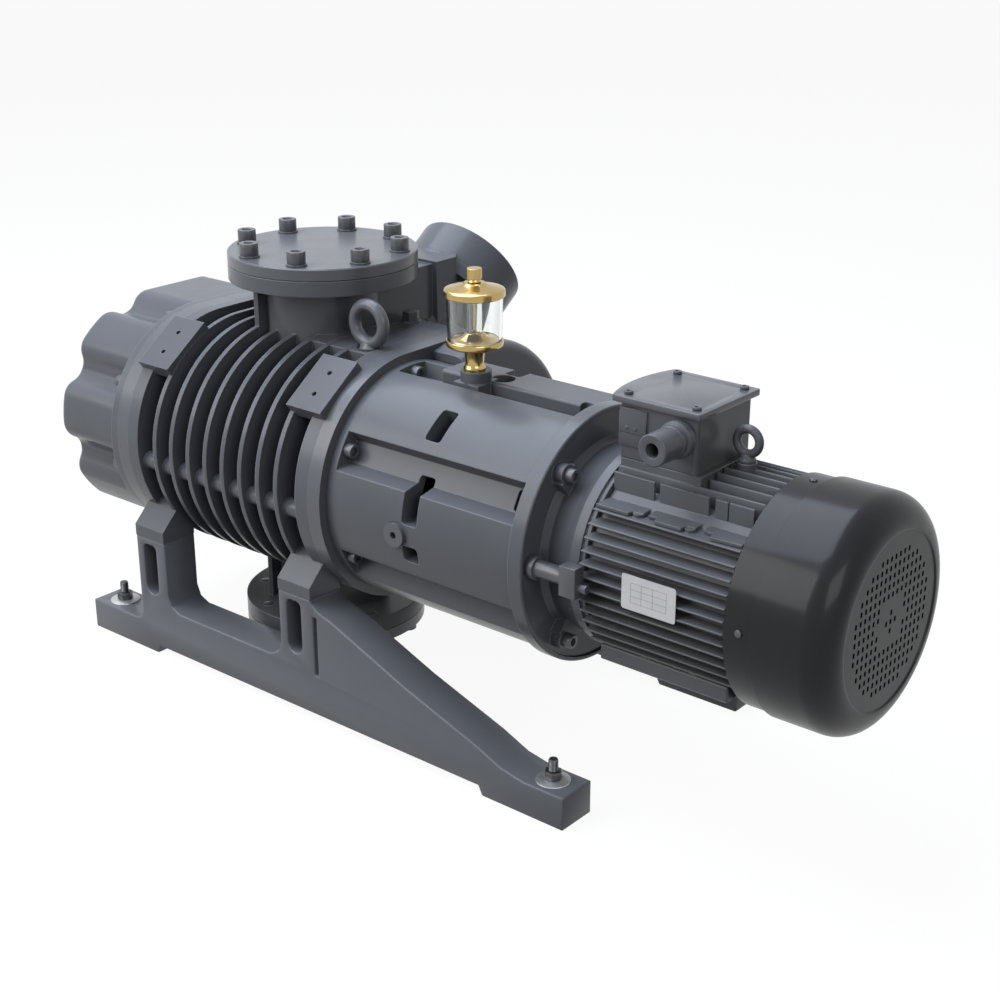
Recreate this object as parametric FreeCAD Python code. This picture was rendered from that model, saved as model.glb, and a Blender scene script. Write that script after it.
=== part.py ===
import FreeCAD, Part
import math
import os

# Roots vacuum pump: two lobed rotors in a ribbed casing, driven through a coupling
# housing by a flanged motor, on two base rails. Sizes are in millimetres.
# X runs from the gear end to the motor, Y to the back and Z up. While the pieces are
# drawn, the inlet axis is at X = 0 and Y = 0, and the shafts are at Z = 0.
# The end of the file moves them so that the middle of the base is the origin.

V = FreeCAD.Vector
ALONG_X = V(1, 0, 0)
ALONG_Y = V(0, 1, 0)
ALONG_Z = V(0, 0, 1)

# Fits and gaps
running_gap = 0.05
thread_gap = 0.1
free_gap = 0.3
bore_gap = 0.3
flank_gap = 0.15
rotor_end_gap = 0.4
tooth_gap = 0.5
air_gap = 0.8

# Screws: shank radius, head radius, head height
port_screw = (8.0, 12.0, 16.0)
end_screw = (6.0, 9.0, 12.0)
motor_screw = (6.0, 8.5, 11.0)
rail_screw = (6.0, 9.0, 10.0)
valve_screw = (5.0, 8.0, 8.5)
lid_screw = (2.6, 5.0, 3.6)
cowl_screw = (3.0, 5.0, 3.0)
motor_eye_thread = (4.0, 7.0, 8.0)

# Rotors and shafts
half_centres = 50.0
shaft_radius = 20.0
shaft_end_radius = 18.0
bearing_rim = 40.0
bearing_width = 18.0

# Casing between its two end flanges
casing_wall = 19.7
casing_length = 300.0
end_flange_thickness = 21.0
flange_rim = 161.0
plate_thickness = 22.0
rib_count = 8
rib_pitch = 32.9
rib_thickness = 7.0
shaft_height = 300.0

# Angles of the end bolts about each shaft, 0 at the front and 90 on top
gear_end_angles = (75.0, 30.0, -15.0, -60.0)
drive_end_angles = (90.0, 30.0, -30.0, -90.0)

# Inlet on top and outlet below, both with the same bolt pattern
port_rim = 125.0
port_bore = 62.5
pipe_bore = 64.0
neck_wall = 13.5
port_flange_thickness = 20.0
inlet_rise = 81.6
outlet_height = 49.0
gasket_thickness = 1.0
gasket_rim = 91.0
inlet_cover_thickness = 15.0
counter_flange_thickness = 16.0
port_bolt_circle = 105.0
port_bolt_count = 8
port_bolt_turn = 4.5
port_washer = 2.5

# Timing gears and oil slinger
gear_teeth = 25
gear_width = 22.0
gear_offset = 7.0
slinger_offset = 28.0
slinger_rim = 104.0

# Gear cover
gear_cover_length = 127.0
gear_cover_wall = 12.0
gear_cover_flange = 12.0
gear_cover_round = 13.0
valley_depth = 20.0
valley_radius = 24.0
lobe_corner = 26.0
sight_glass_y = -70.0
sight_glass_z = -62.0
sight_glass_bore = 21.0
sight_glass_rim = 25.0
oil_plug_y = 60.0
oil_plug_heights = (96.0, -104.0)
oil_plug_radius = 9.0

# Overflow valve, leaned back from the idle axis
valve_angle = 36.6
valve_branch = 62.0
valve_rim = 81.0
valve_reach = 240.0
valve_flange_thickness = 18.0
valve_cover_height = 52.0
valve_cover_wall = 12.0
valve_cover_round = 3.0
valve_chamber = 45.0
valve_seat_bore = 32.0
valve_seat_drop = 80.0
valve_seat_height = 10.0
valve_disc_radius = 40.0
valve_disc_height = 9.0
valve_lift = 25.0
valve_stem = 8.0
valve_bolt_circle = 65.0
valve_bolt_count = 6

# Coupling housing between the pump and the motor
adapter_length = 310.0
adapter_step = 11.0
adapter_wall = 32.0
adapter_lip = 4.9
channel_depth = 20.0
channel_count = 6
channel_inset = 12.0
rim_length = 19.0
window_length = 24.0
window_offset = 137.0
window_corner = 4.5
plug_radius = 15.0
idle_cover_length = 54.0
idle_cover_round = 16.0

# Coupling
hub_radius = 52.0
hub_length = 72.0
jaw_length = 22.0
jaw_half_angle = 22.0
coupling_inset = 33.0

# Motor
motor_flange_margin = 21.0
motor_flange_thickness = 11.0
motor_flange_depth = 14.0
motor_bolt_angle = 50.0
shield_length = 59.0
frame_length = 188.0
motor_core = 112.0
frame_wall = 16.0
fin_height = 17.0
fin_thickness = 3.2
fin_pitch = 13.0
stator_bore = 64.0
motor_shaft = 19.0
front_bearing_rim = 30.0
rear_bearing_rim = 32.0
seal_rim = 63.7
support_bolt_offset = 5.0
fan_inset = 34.0
fan_width = 42.0

# Fan cowl
cowl_length = 123.0
cowl_band = 32.5
cowl_step = 3.2
cowl_round = 34.0
cowl_sheet = 2.0
grille_radius = 86.0
fan_radius = 100.0
fan_blades = 8

# Terminal box
box_length = 114.5
box_width = 120.0
box_height = 64.0
box_wall = 5.0
box_edge = 6.0
box_overlap = 9.0
lid_thickness = 7.8
lid_bulge = 12.0
gland_x_offset = 87.0
gland_height = 39.0
cable_bore = 8.0

# Lifting eyes
lifting_eye_inset = 35.0
lifting_eye_offset = 7.0
lifting_eye_face = 16.5
motor_eye_inset = 59.0

# Drip oiler
oiler_offset = 112.0
oiler_boss_height = 13.0
oiler_boss_width = 38.0
oiler_stem_height = 38.0
oiler_glass_height = 52.5
oiler_glass_radius = 33.5
oiler_glass_wall = 4.0
oiler_cap_radius = 37.0
oiler_cap_height = 9.0
oiler_knob_radius = 9.3
oiler_knob_height = 17.0
oiler_bore = 6.0

# Support rails
rail_thickness = 54.0
rail_length = 849.0
rail_overhang = 278.0
foot_height = 42.7
foot_recess = 12.0
column_width = 57.2
column_inset = 30.7
column_top = 128.0
rail_screw_length = 48.0
sill_height = 74.0
stud_inset_left = 36.0
stud_inset_right = 35.0
stud_radius = 6.0
stud_reach = 28.0
stud_washer_radius = 21.0

# Places that follow from the sizes above
drive_y = -half_centres
idle_y = half_centres
lifting_eye_y = drive_y - lifting_eye_offset
rotor_tip = 1.5 * half_centres
inner_bore = rotor_tip + bore_gap
wall_radius = inner_bore + casing_wall
casing_half = casing_length / 2.0
end_flange_face = casing_half + end_flange_thickness
plate_face = end_flange_face + plate_thickness
lifting_eye_x = end_flange_face - lifting_eye_inset
floor_z = -shaft_height
neck_radius = port_bore + neck_wall
inlet_face = flange_rim + inlet_rise
outlet_face = floor_z + outlet_height
inlet_cover_bottom = inlet_face + gasket_thickness
inlet_top = inlet_cover_bottom + inlet_cover_thickness
counter_flange_top = outlet_face - gasket_thickness
counter_flange_bottom = counter_flange_top - counter_flange_thickness
gear_module = 2.0 * half_centres / gear_teeth
gear_end = -plate_face - gear_offset
gear_start = gear_end - gear_width
slinger_x = gear_start - slinger_offset
gear_cover_end = -plate_face - gear_cover_length
gear_cover_rim = flange_rim - 1.0
cover_bolt_circle = flange_rim - 12.0
valve_flange_end = valve_reach + valve_flange_thickness
valve_cover_end = valve_flange_end + valve_cover_height
valve_roof = valve_cover_end - valve_cover_wall
valve_seat_end = valve_reach - valve_seat_drop
valve_seat_start = valve_seat_end - valve_seat_height
adapter_end = plate_face + adapter_length
adapter_radius = flange_rim - adapter_step
adapter_bore = adapter_radius - adapter_wall
adapter_bolt_circle = adapter_radius - 11.0
channel_floor = adapter_radius - channel_depth
channel_start = plate_face + channel_inset
rim_start = adapter_end - rim_length
channel_end = rim_start - 3.0
fin_tip = motor_core + fin_height
motor_flange_radius = fin_tip + motor_flange_margin
recess_radius = motor_flange_radius + 2.0 * free_gap
adapter_rim = recess_radius + adapter_lip
idle_cover_end = plate_face + idle_cover_length
motor_hub_end = adapter_end - coupling_inset
jaw_end = motor_hub_end - hub_length
jaw_start = jaw_end - jaw_length
pump_hub_start = jaw_start - hub_length
motor_flange_start = adapter_end - motor_flange_depth
motor_flange_end = motor_flange_start + motor_flange_thickness
motor_bolt_circle = motor_flange_radius - 17.5
frame_start = adapter_end + shield_length
frame_end = frame_start + frame_length
stator_radius = motor_core - frame_wall
cowl_start = frame_end + 2.5
cowl_end = cowl_start + cowl_length
cowl_band_radius = fin_tip + 0.8 + cowl_sheet
cowl_radius = cowl_band_radius + cowl_step
box_start = frame_start - box_overlap
box_end = box_start + box_length
box_middle = (box_start + box_end) / 2.0
box_front = drive_y - box_width / 2.0
box_back = drive_y + box_width / 2.0
box_base = motor_core + 14.0
lid_bottom = box_base + box_height
lid_top = lid_bottom + lid_thickness
gland_x = box_start + gland_x_offset
gland_z = box_base + gland_height
motor_eye_x = frame_end - motor_eye_inset
motor_eye_seat = fin_tip + 6.0
casing_eye_seat = flange_rim - 3.0
oiler_x = plate_face + oiler_offset
oiler_seat = adapter_radius + oiler_boss_height
glass_bottom = oiler_seat + oiler_stem_height
glass_top = glass_bottom + oiler_glass_height
cap_top = glass_top + oiler_cap_height
knob_top = cap_top + 8.0 + oiler_knob_height
rail_front = drive_y - flange_rim
rail_back = rail_front + rail_thickness
rail_start = -rail_overhang
rail_end = rail_start + rail_length
foot_top = floor_z + foot_height
column_x = end_flange_face - column_inset
column_in = column_x - column_width / 2.0
column_out = column_x + column_width / 2.0
seat_z = -column_top
sill_z = floor_z + sill_height
stud_places = [(x, side * (rail_front + rail_thickness / 2.0))
               for x in (rail_start + stud_inset_left, rail_end - stud_inset_right)
               for side in (1.0, -1.0)]


# Basic shapes

def rod(radius, x0, x1, y=drive_y, z=0.0):
    return Part.makeCylinder(radius, x1 - x0, V(x0, y, z), ALONG_X)


def tube(outer, inner, x0, x1, y=drive_y, z=0.0):
    return rod(outer, x0, x1, y, z).cut(rod(inner, x0, x1, y, z))


def post(radius, z0, z1, x=0.0, y=0.0):
    return Part.makeCylinder(radius, z1 - z0, V(x, y, z0), ALONG_Z)


def ring(outer, inner, z0, z1, x=0.0, y=0.0):
    return post(outer, z0, z1, x, y).cut(post(inner, z0, z1, x, y))


def bar(radius, y0, y1, x, z):
    return Part.makeCylinder(radius, y1 - y0, V(x, y0, z), ALONG_Y)


def block(x0, x1, y0, y1, z0, z1):
    return Part.makeBox(x1 - x0, y1 - y0, z1 - z0, V(x0, y0, z0))


def join(shapes):
    if len(shapes) == 1:
        return shapes[0]
    return shapes[0].fuse(shapes[1:])


def group(shapes):
    return Part.makeCompound(shapes)


def polygon(points):
    return Part.Face(Part.makePolygon([V(*point) for point in points + points[:1]]))


def stadium(radius, x0, x1):
    # The outline of an end flange: two half circles about the shafts, joined by flats.
    top = Part.LineSegment(V(x0, drive_y, radius), V(x0, idle_y, radius))
    back = Part.Arc(V(x0, idle_y, radius), V(x0, idle_y + radius, 0), V(x0, idle_y, -radius))
    bottom = Part.LineSegment(V(x0, idle_y, -radius), V(x0, drive_y, -radius))
    front = Part.Arc(V(x0, drive_y, -radius), V(x0, drive_y - radius, 0), V(x0, drive_y, radius))
    wire = Part.Wire([curve.toShape() for curve in (top, back, bottom, front)])
    return Part.Face(wire).extrude(V(x1 - x0, 0, 0))


def turned_x(profile, y=drive_y):
    # Turns a profile of (x, radius) points about a shaft axis.
    face = polygon([(x, y, radius) for x, radius in profile])
    return face.revolve(V(0, y, 0), ALONG_X, 360)


def turned_z(profile, x, y):
    # Turns a profile of (radius, z) points about an upright axis.
    face = polygon([(x + radius, y, z) for radius, z in profile])
    return face.revolve(V(x, y, 0), ALONG_Z, 360)


def hexagon(across, z0, z1, x=0.0, y=0.0):
    radius = across / math.sqrt(3.0)
    turns = [math.radians(60.0 * corner) for corner in range(6)]
    points = [(x + radius * math.cos(turn), y + radius * math.sin(turn), z0) for turn in turns]
    return polygon(points).extrude(V(0, 0, z1 - z0))


def rounded(shape, radius, picks):
    return shape.makeFillet(radius, [edge for edge in shape.Edges if picks(edge.BoundBox)])


# Placing

def on_rim(radius, angle, y=drive_y):
    # Angle 0 is at the front of the axis, 90 on top.
    turn = math.radians(angle)
    return (y - radius * math.cos(turn), radius * math.sin(turn))


def spun(shape, angle):
    # Turns a shape drawn on top of the drive axis to that angle.
    copy = shape.copy()
    copy.rotate(V(0, drive_y, 0), ALONG_X, 90.0 - angle)
    return copy


def leaned(shape):
    # Takes a shape drawn upright on the origin to the axis of the overflow valve.
    copy = shape.copy()
    copy.rotate(V(0, 0, 0), ALONG_X, valve_angle - 90.0)
    copy.translate(V(0, idle_y, 0))
    return copy


def mirrored_x(shape):
    return shape.mirror(V(0, 0, 0), ALONG_X)


def mirrored_y(shape, y=0.0):
    return shape.mirror(V(0, y, 0), ALONG_Y)


def end_bolt_places(circle, angles):
    # Four bolts about each shaft, none in the row between the shafts.
    front = [on_rim(circle, angle) for angle in angles]
    return front + [(-y, z) for y, z in front]


def circle_places(radius, count, first=0.0):
    turns = [math.radians(first + 360.0 * index / count) for index in range(count)]
    return [(radius * math.cos(turn), radius * math.sin(turn)) for turn in turns]


def port_bolt_places():
    return circle_places(port_bolt_circle, port_bolt_count, 180.0 / port_bolt_count + port_bolt_turn)


def motor_bolt_angles():
    return (motor_bolt_angle, -motor_bolt_angle, 180.0 - motor_bolt_angle, 180.0 + motor_bolt_angle)


# Screws

def cap_screw(size, length):
    # Socket head screw, upright: the head stands on Z = 0 and the shank goes down.
    shank, head, height = size
    key = hexagon(1.05 * head, 0.45 * height, height)
    return post(head, 0.0, height).fuse(post(shank - thread_gap, -length, 0.0)).cut(key)


def aimed(shape, way, x, y, z):
    # Turns an upright shape to look along the given way, and puts its seat there.
    copy = shape.copy()
    turns = {"up": 0.0, "down": 180.0, "right": 90.0, "left": -90.0}
    axis = ALONG_X if way in ("up", "down") else ALONG_Y
    angle = turns[way]
    copy.rotate(V(0, 0, 0), axis, angle)
    copy.translate(V(x, y, z))
    return copy


# Casing

def casing_ribs():
    shapes = []
    for index in range(rib_count):
        middle = (index - (rib_count - 1) / 2.0) * rib_pitch
        shapes.append(stadium(flange_rim, middle - rib_thickness / 2.0, middle + rib_thickness / 2.0))
    return shapes


def casing_deck():
    # Solid deck between the inlet neck and the drive end, which carries the lifting eye.
    front = drive_y - 27.0
    filled = stadium(flange_rim - 0.5, 0.6 * neck_radius, casing_half)
    deck = filled.common(block(0.0, casing_half, front, idle_y + 60.0, wall_radius - 10.0, flange_rim))
    boss = post(13.0, wall_radius, flange_rim + 2.5, *casing_plug_place())
    eye_boss = post(16.0, wall_radius, casing_eye_seat, lifting_eye_x, lifting_eye_y)
    return join([deck, boss, eye_boss])


def casing_plug_place():
    return (0.5 * (neck_radius + casing_half) - 18.0, idle_y + 15.0)


def casing_side_bars():
    # Round bar along the front, low on the ribs, with its web to the wall.
    y, z = on_rim(flange_rim - 19.0, -8.0)
    bar_shape = rod(12.0, -casing_half, casing_half, y, z)
    web = block(-casing_half, casing_half, y, drive_y - wall_radius + 35.0, z - 8.0, z + 8.0)
    front = bar_shape.fuse(web)
    return [front, mirrored_y(front)]


def casing_pads():
    # Flat pads with two tapped holes on the upper front of both end flanges.
    middle_x = casing_half - 8.0
    bottom = flange_rim - 13.0
    top = flange_rim + 7.0
    plate = block(casing_half - 38.0, end_flange_face, drive_y - 42.0, drive_y + 42.0, bottom, top)
    holes = [post(3.4, bottom + 4.0, top + 2.0, middle_x, drive_y + side) for side in (-17.0, 17.0)]
    pad = spun(plate.cut(holes), 54.0)
    return [pad, mirrored_x(pad)]


def column_seats():
    # Feet of the casing: each has a lip on the column and leans back to the end flange.
    lip = 16.0
    lean = 28.0
    face = polygon([
        (column_in, rail_front, seat_z),
        (column_in, rail_back, seat_z),
        (column_in, rail_back, seat_z + 68.0),
        (column_in, rail_front + lean, seat_z + lip + lean),
        (column_in, rail_front, seat_z + lip),
    ])
    hole = post(rail_screw[0], seat_z, seat_z + 36.0, column_x, rail_screw_y())
    seat = face.extrude(V(column_width, 0, 0)).cut(hole)
    return [seat, mirrored_x(seat), mirrored_y(seat), mirrored_x(mirrored_y(seat))]


def valve_housing():
    # Leaning branch with its flange, the block that it grows from and the duct to the inlet.
    flange = post(valve_rim, valve_reach, valve_flange_end)
    branch = leaned(post(valve_branch, 60.0, valve_reach).fuse(flange))
    corners = [(-53.0, 165.0), (53.0, 165.0), (53.0, 205.0), (30.0, 232.0), (-30.0, 232.0), (-53.0, 205.0)]
    box = polygon([(x, y, 128.0) for x, y in corners]).extrude(V(0, 0, 88.0))
    duct = block(-44.0, 44.0, idle_y - 10.0, 170.0, 136.0, 212.0)
    return [branch, box, duct]


def bypass_shell():
    # Bulge behind the idle rotor, where the bypass runs down to the outlet.
    outside = rod(flange_rim - 11.0, -53.0, 53.0, idle_y)
    return outside.common(block(-60.0, 60.0, idle_y + 10.0, 260.0, -160.0, 120.0))


def bypass_passage():
    inner = inner_bore + 30.7
    outer = flange_rim - 21.0
    reach = polygon([
        (-42.0, idle_y, 0.0), (-42.0, 190.0, 70.0), (-42.0, 230.0, 0.0), (-42.0, 220.0, -170.0),
        (-42.0, 20.0, -170.0), (-42.0, 20.0, -100.0)]).extrude(V(84.0, 0, 0))
    return tube(outer, inner, -42.0, 42.0, idle_y).common(reach)


def rotor_casing():
    tall_rib_x = -1.5 * rib_pitch
    tall_rib = block(tall_rib_x - 4.0, tall_rib_x + 4.0, -neck_radius - 2.0, neck_radius + 2.0,
                     outlet_face + 5.0, inlet_face - 5.0)
    solids = [
        stadium(wall_radius, -casing_half, casing_half),
        stadium(flange_rim, casing_half, end_flange_face),
        stadium(flange_rim, -end_flange_face, -casing_half),
        post(neck_radius, 0.0, inlet_face),
        post(neck_radius, outlet_face, 0.0),
        post(port_rim, inlet_face - port_flange_thickness, inlet_face),
        post(port_rim, outlet_face, outlet_face + port_flange_thickness),
        tall_rib,
        casing_deck(),
        bypass_shell(),
    ]
    solids += casing_ribs() + casing_side_bars() + casing_pads() + column_seats() + valve_housing()
    voids = [
        rod(inner_bore, -end_flange_face, end_flange_face, drive_y),
        rod(inner_bore, -end_flange_face, end_flange_face, idle_y),
        post(port_bore, outlet_face, inlet_face),
        leaned(post(valve_chamber, valve_seat_start - 40.0, valve_flange_end)),
        leaned(post(valve_rim + 1.0, valve_flange_end, valve_cover_end + 20.0)),
        block(-32.0, 32.0, idle_y - 20.0, 205.0, 152.0, 200.0),
        bypass_passage(),
        post(end_screw[0], casing_eye_seat - 23.0, casing_eye_seat, lifting_eye_x, lifting_eye_y),
        post(lifting_eye_face, casing_eye_seat, flange_rim + 2.0, lifting_eye_x, lifting_eye_y),
    ]
    for x, y in port_bolt_places():
        voids.append(post(port_screw[0], inlet_face - port_flange_thickness, inlet_face, x, y))
        voids.append(post(port_screw[0], outlet_face, outlet_face + port_flange_thickness, x, y))
    for y, z in end_bolt_places(adapter_bolt_circle, drive_end_angles):
        voids.append(rod(end_screw[0], casing_half + 2.0, end_flange_face, y, z))
    for y, z in end_bolt_places(cover_bolt_circle, gear_end_angles):
        voids.append(rod(end_screw[0], -end_flange_face, -casing_half - 2.0, y, z))
    for x, y in valve_bolt_places():
        voids.append(leaned(post(valve_screw[0], valve_reach + 1.0, valve_flange_end, x, y)))
    return join(solids).cut(voids)


# End plates, bearings and rotors

def end_plate(side, bolts):
    # Side -1 is the gear end. The bearing seats open away from the rotors.
    face = side * plate_face
    inner = side * end_flange_face
    seat = side * (plate_face - bearing_width)
    shape = stadium(flange_rim, min(face, inner), max(face, inner))
    voids = [rod(end_screw[0], min(face, inner), max(face, inner), y, z) for y, z in bolts]
    for y in (drive_y, idle_y):
        voids.append(rod(bearing_rim, min(face, seat), max(face, seat), y))
        voids.append(rod(shaft_radius + 3.0, min(face, inner), max(face, inner), y))
    return shape.cut(voids)


def bearing(x0, y):
    # Outer and inner race, joined by the row of balls drawn as one solid ring.
    race = (bearing_rim + shaft_radius) / 2.0
    ball = 0.45 * (bearing_rim - shaft_radius)
    middle = x0 + bearing_width / 2.0
    outer = tube(bearing_rim, race + 0.45 * ball, x0, x0 + bearing_width, y)
    inner = tube(race - 0.45 * ball, shaft_radius + running_gap, x0, x0 + bearing_width, y)
    balls = tube(race + 0.5 * ball, race - 0.5 * ball, middle - 0.3 * ball, middle + 0.3 * ball, y)
    return join([outer, inner, balls])


def rotor_bearings():
    starts = (-plate_face, plate_face - bearing_width)
    return group([bearing(x0, y) for x0 in starts for y in (drive_y, idle_y)])


def rotor_outline(lobe_angle):
    # The tips roll on the outside of the pitch circle and the waists on its inside,
    # with the whole outline drawn in by the flank gap.
    pitch = half_centres
    roll = pitch / 4.0
    steps = 9
    curve = []
    for index in range(4 * steps):
        turn = math.radians(90.0 * index / steps)
        sign = 1.0 if (index // steps) % 2 == 0 else -1.0
        arm = pitch + sign * roll
        curve.append((arm * math.cos(turn) - sign * roll * math.cos(arm / roll * turn),
                      arm * math.sin(turn) - roll * math.sin(arm / roll * turn)))
    tilt = math.radians(lobe_angle - 45.0)
    points = []
    for index, (y, z) in enumerate(curve):
        before = curve[index - 1]
        after = curve[(index + 1) % len(curve)]
        run = math.hypot(after[0] - before[0], after[1] - before[1])
        y -= flank_gap * (after[1] - before[1]) / run
        z += flank_gap * (after[0] - before[0]) / run
        points.append((y * math.cos(tilt) - z * math.sin(tilt), y * math.sin(tilt) + z * math.cos(tilt)))
    return points


def rotor_body(lobe_angle, axis_y):
    x0 = -end_flange_face + rotor_end_gap
    x1 = end_flange_face - rotor_end_gap
    outline = Part.BSplineCurve()
    outline.interpolate([V(x0, axis_y + y, z) for y, z in rotor_outline(lobe_angle)], PeriodicFlag=True)
    return Part.Face(Part.Wire([outline.toShape()])).extrude(V(x1 - x0, 0, 0))


def drive_rotor():
    seal_end = plate_face + 62.0
    return join([
        rotor_body(90.0, drive_y),
        rod(shaft_radius, slinger_x - 14.0, seal_end),
        rod(shaft_end_radius, seal_end, jaw_start - 4.0),
    ])


def idle_rotor():
    return rotor_body(0.0, idle_y).fuse(rod(shaft_radius, gear_start - 8.0, plate_face - 0.5, idle_y))


# Gear end

def timing_gear(axis_y):
    # An odd number of teeth lets both gears start with a tooth towards +Y and still mesh.
    pitch = gear_module * gear_teeth / 2.0
    tip = pitch + gear_module - tooth_gap
    root = pitch - 1.25 * gear_module
    half_tooth = math.pi * gear_module / 4.0 - tooth_gap
    pressure_slope = math.tan(math.radians(20.0))
    points = []
    for tooth in range(gear_teeth):
        for radius, side in ((root, -1.0), (tip, -1.0), (tip, 1.0), (root, 1.0)):
            width = half_tooth - (radius - pitch) * pressure_slope
            angle = 2.0 * math.pi * tooth / gear_teeth + side * width / radius
            points.append((gear_start, axis_y + radius * math.cos(angle), radius * math.sin(angle)))
    return polygon(points).extrude(V(gear_width, 0, 0)).cut(rod(shaft_radius, gear_start, gear_end, axis_y))


def oil_slinger():
    disc = tube(slinger_rim, shaft_radius, slinger_x - 3.0, slinger_x)
    return disc.fuse(tube(30.0, shaft_radius, slinger_x - 14.0, slinger_x))


def is_lobe_edge(box):
    # Edges along X where a hollow meets the rim, not the seams between the rim's own faces.
    along_x = box.XLength > 0.9 * gear_cover_length and max(box.YLength, box.ZLength) < 0.1
    inside_rim = math.hypot(max(abs(box.YMin) - half_centres, 0.0), box.ZMin) < gear_cover_rim + 0.1
    at_seam = abs(abs(box.YMin) - half_centres) < 0.1
    return along_x and inside_rim and not at_seam


def gear_cover():
    # Hollows are cut into the rim at the bolts, which leaves the lobes between them.
    rim_face = -plate_face - gear_cover_flange
    inside_face = gear_cover_end + gear_cover_wall
    hollow_centre = gear_cover_rim - valley_depth + valley_radius
    shell = stadium(gear_cover_rim, gear_cover_end, -plate_face)
    shell = shell.cut([rod(valley_radius, gear_cover_end, -plate_face, y, z)
                       for y, z in end_bolt_places(hollow_centre, gear_end_angles)])
    shell = rounded(shell, lobe_corner, is_lobe_edge)
    shell = rounded(shell, gear_cover_round, lambda box: box.XMax < gear_cover_end + 1.0)
    bolts = end_bolt_places(cover_bolt_circle, gear_end_angles)
    heads = [rod(end_screw[1] + 1.5, gear_cover_end - 1.0, rim_face, y, z) for y, z in bolts]
    voids = [stadium(gear_cover_rim - valley_depth - gear_cover_wall, inside_face, -plate_face)]
    voids.append(rod(sight_glass_bore, gear_cover_end, inside_face, sight_glass_y, sight_glass_z))
    voids += [rod(oil_plug_radius, gear_cover_end, inside_face, oil_plug_y, z) for z in oil_plug_heights]
    voids += [rod(end_screw[0], rim_face, -plate_face, y, z) for y, z in bolts]
    return shell.cut(heads).fuse(stadium(flange_rim, rim_face, -plate_face)).cut(voids)


def gear_cover_screws():
    seat = -plate_face - gear_cover_flange
    screw = cap_screw(end_screw, -casing_half - 4.0 - seat)
    bolts = end_bolt_places(cover_bolt_circle, gear_end_angles)
    return group([aimed(screw, "left", seat, y, z) for y, z in bolts])


def oil_sight_glass():
    y = sight_glass_y
    z = sight_glass_z
    plug = rod(sight_glass_bore - thread_gap, gear_cover_end, gear_cover_end + gear_cover_wall - 2.0, y, z)
    rim = tube(sight_glass_rim, 0.6 * sight_glass_rim, gear_cover_end - 6.0, gear_cover_end, y, z)
    pane = rod(0.7 * sight_glass_rim, gear_cover_end - 3.0, gear_cover_end, y, z)
    return join([plug, rim, pane])


def oil_plugs():
    plug = post(oil_plug_radius - thread_gap, -10.0, 0.0).fuse(hexagon(24.0, 0.0, 9.0))
    shapes = [aimed(plug, "left", gear_cover_end, oil_plug_y, z) for z in oil_plug_heights]
    x, y = casing_plug_place()
    shapes.append(hexagon(20.0, flange_rim + 2.5, flange_rim + 14.0, x, y))
    return group(shapes)


# Inlet and outlet

def port_holes(z0, z1):
    return [post(port_screw[0] + 1.0, z0, z1, x, y) for x, y in port_bolt_places()]


def inlet_cover():
    cover = post(port_rim, inlet_cover_bottom, inlet_top)
    cover = cover.makeChamfer(1.5, [edge for edge in cover.Edges if edge.BoundBox.ZMin > inlet_top - 1.0])
    return cover.cut(port_holes(inlet_cover_bottom, inlet_top))


def inlet_screws():
    seat = inlet_top + port_washer
    screw = cap_screw(port_screw, seat - inlet_face + port_flange_thickness)
    shapes = []
    for x, y in port_bolt_places():
        shapes.append(ring(port_screw[1] + 1.5, port_screw[0] + 1.0, inlet_top, seat, x, y))
        shapes.append(aimed(screw, "up", x, y, seat))
    return group(shapes)


def port_gaskets():
    return group([
        ring(gasket_rim, port_bore, inlet_face, inlet_cover_bottom),
        ring(gasket_rim, port_bore, counter_flange_top, outlet_face),
    ])


def outlet_counter_flange():
    flange = ring(port_rim, pipe_bore, counter_flange_bottom, counter_flange_top)
    return flange.cut(port_holes(counter_flange_bottom, counter_flange_top))


def outlet_screws():
    screw = cap_screw(port_screw, outlet_face + port_flange_thickness - counter_flange_bottom)
    return group([aimed(screw, "down", x, y, counter_flange_bottom) for x, y in port_bolt_places()])


# Overflow valve

def valve_bolt_places():
    return circle_places(valve_bolt_circle, valve_bolt_count)


def valve_seat():
    return leaned(ring(valve_chamber, valve_seat_bore, valve_seat_start, valve_seat_end))


def valve_disc():
    # The disc lies on its seat by its own weight, and its stem slides in the cover.
    bottom = valve_seat_end + 0.2
    top = bottom + valve_disc_height
    stem = post(valve_stem, top, valve_roof - valve_lift - 3.0)
    return leaned(post(valve_disc_radius, bottom, top).fuse(stem))


def valve_cover():
    body = ring(valve_rim, valve_chamber, valve_flange_end, valve_roof)
    body = body.fuse(post(valve_rim, valve_roof, valve_cover_end)).removeSplitter()
    body = rounded(body, valve_cover_round, lambda box: box.ZMin > valve_cover_end - 0.5)
    guide = ring(14.0, valve_stem + running_gap, valve_flange_end + 6.0, valve_roof)
    voids = []
    for x, y in valve_bolt_places():
        voids.append(post(valve_screw[0], valve_flange_end, valve_cover_end, x, y))
        voids.append(post(valve_screw[1] + 0.6, valve_cover_end - 9.0, valve_cover_end, x, y))
    return leaned(body.fuse(guide).cut(voids))


def valve_cover_screws():
    seat = valve_cover_end - 9.0
    screw = cap_screw(valve_screw, seat - valve_reach - 3.0)
    return group([leaned(aimed(screw, "up", x, y, seat)) for x, y in valve_bolt_places()])


# Drive end of the pump

def idle_bolt_places():
    return [(y, z) for y, z in end_bolt_places(adapter_bolt_circle, drive_end_angles) if y > idle_y + 1.0]


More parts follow.
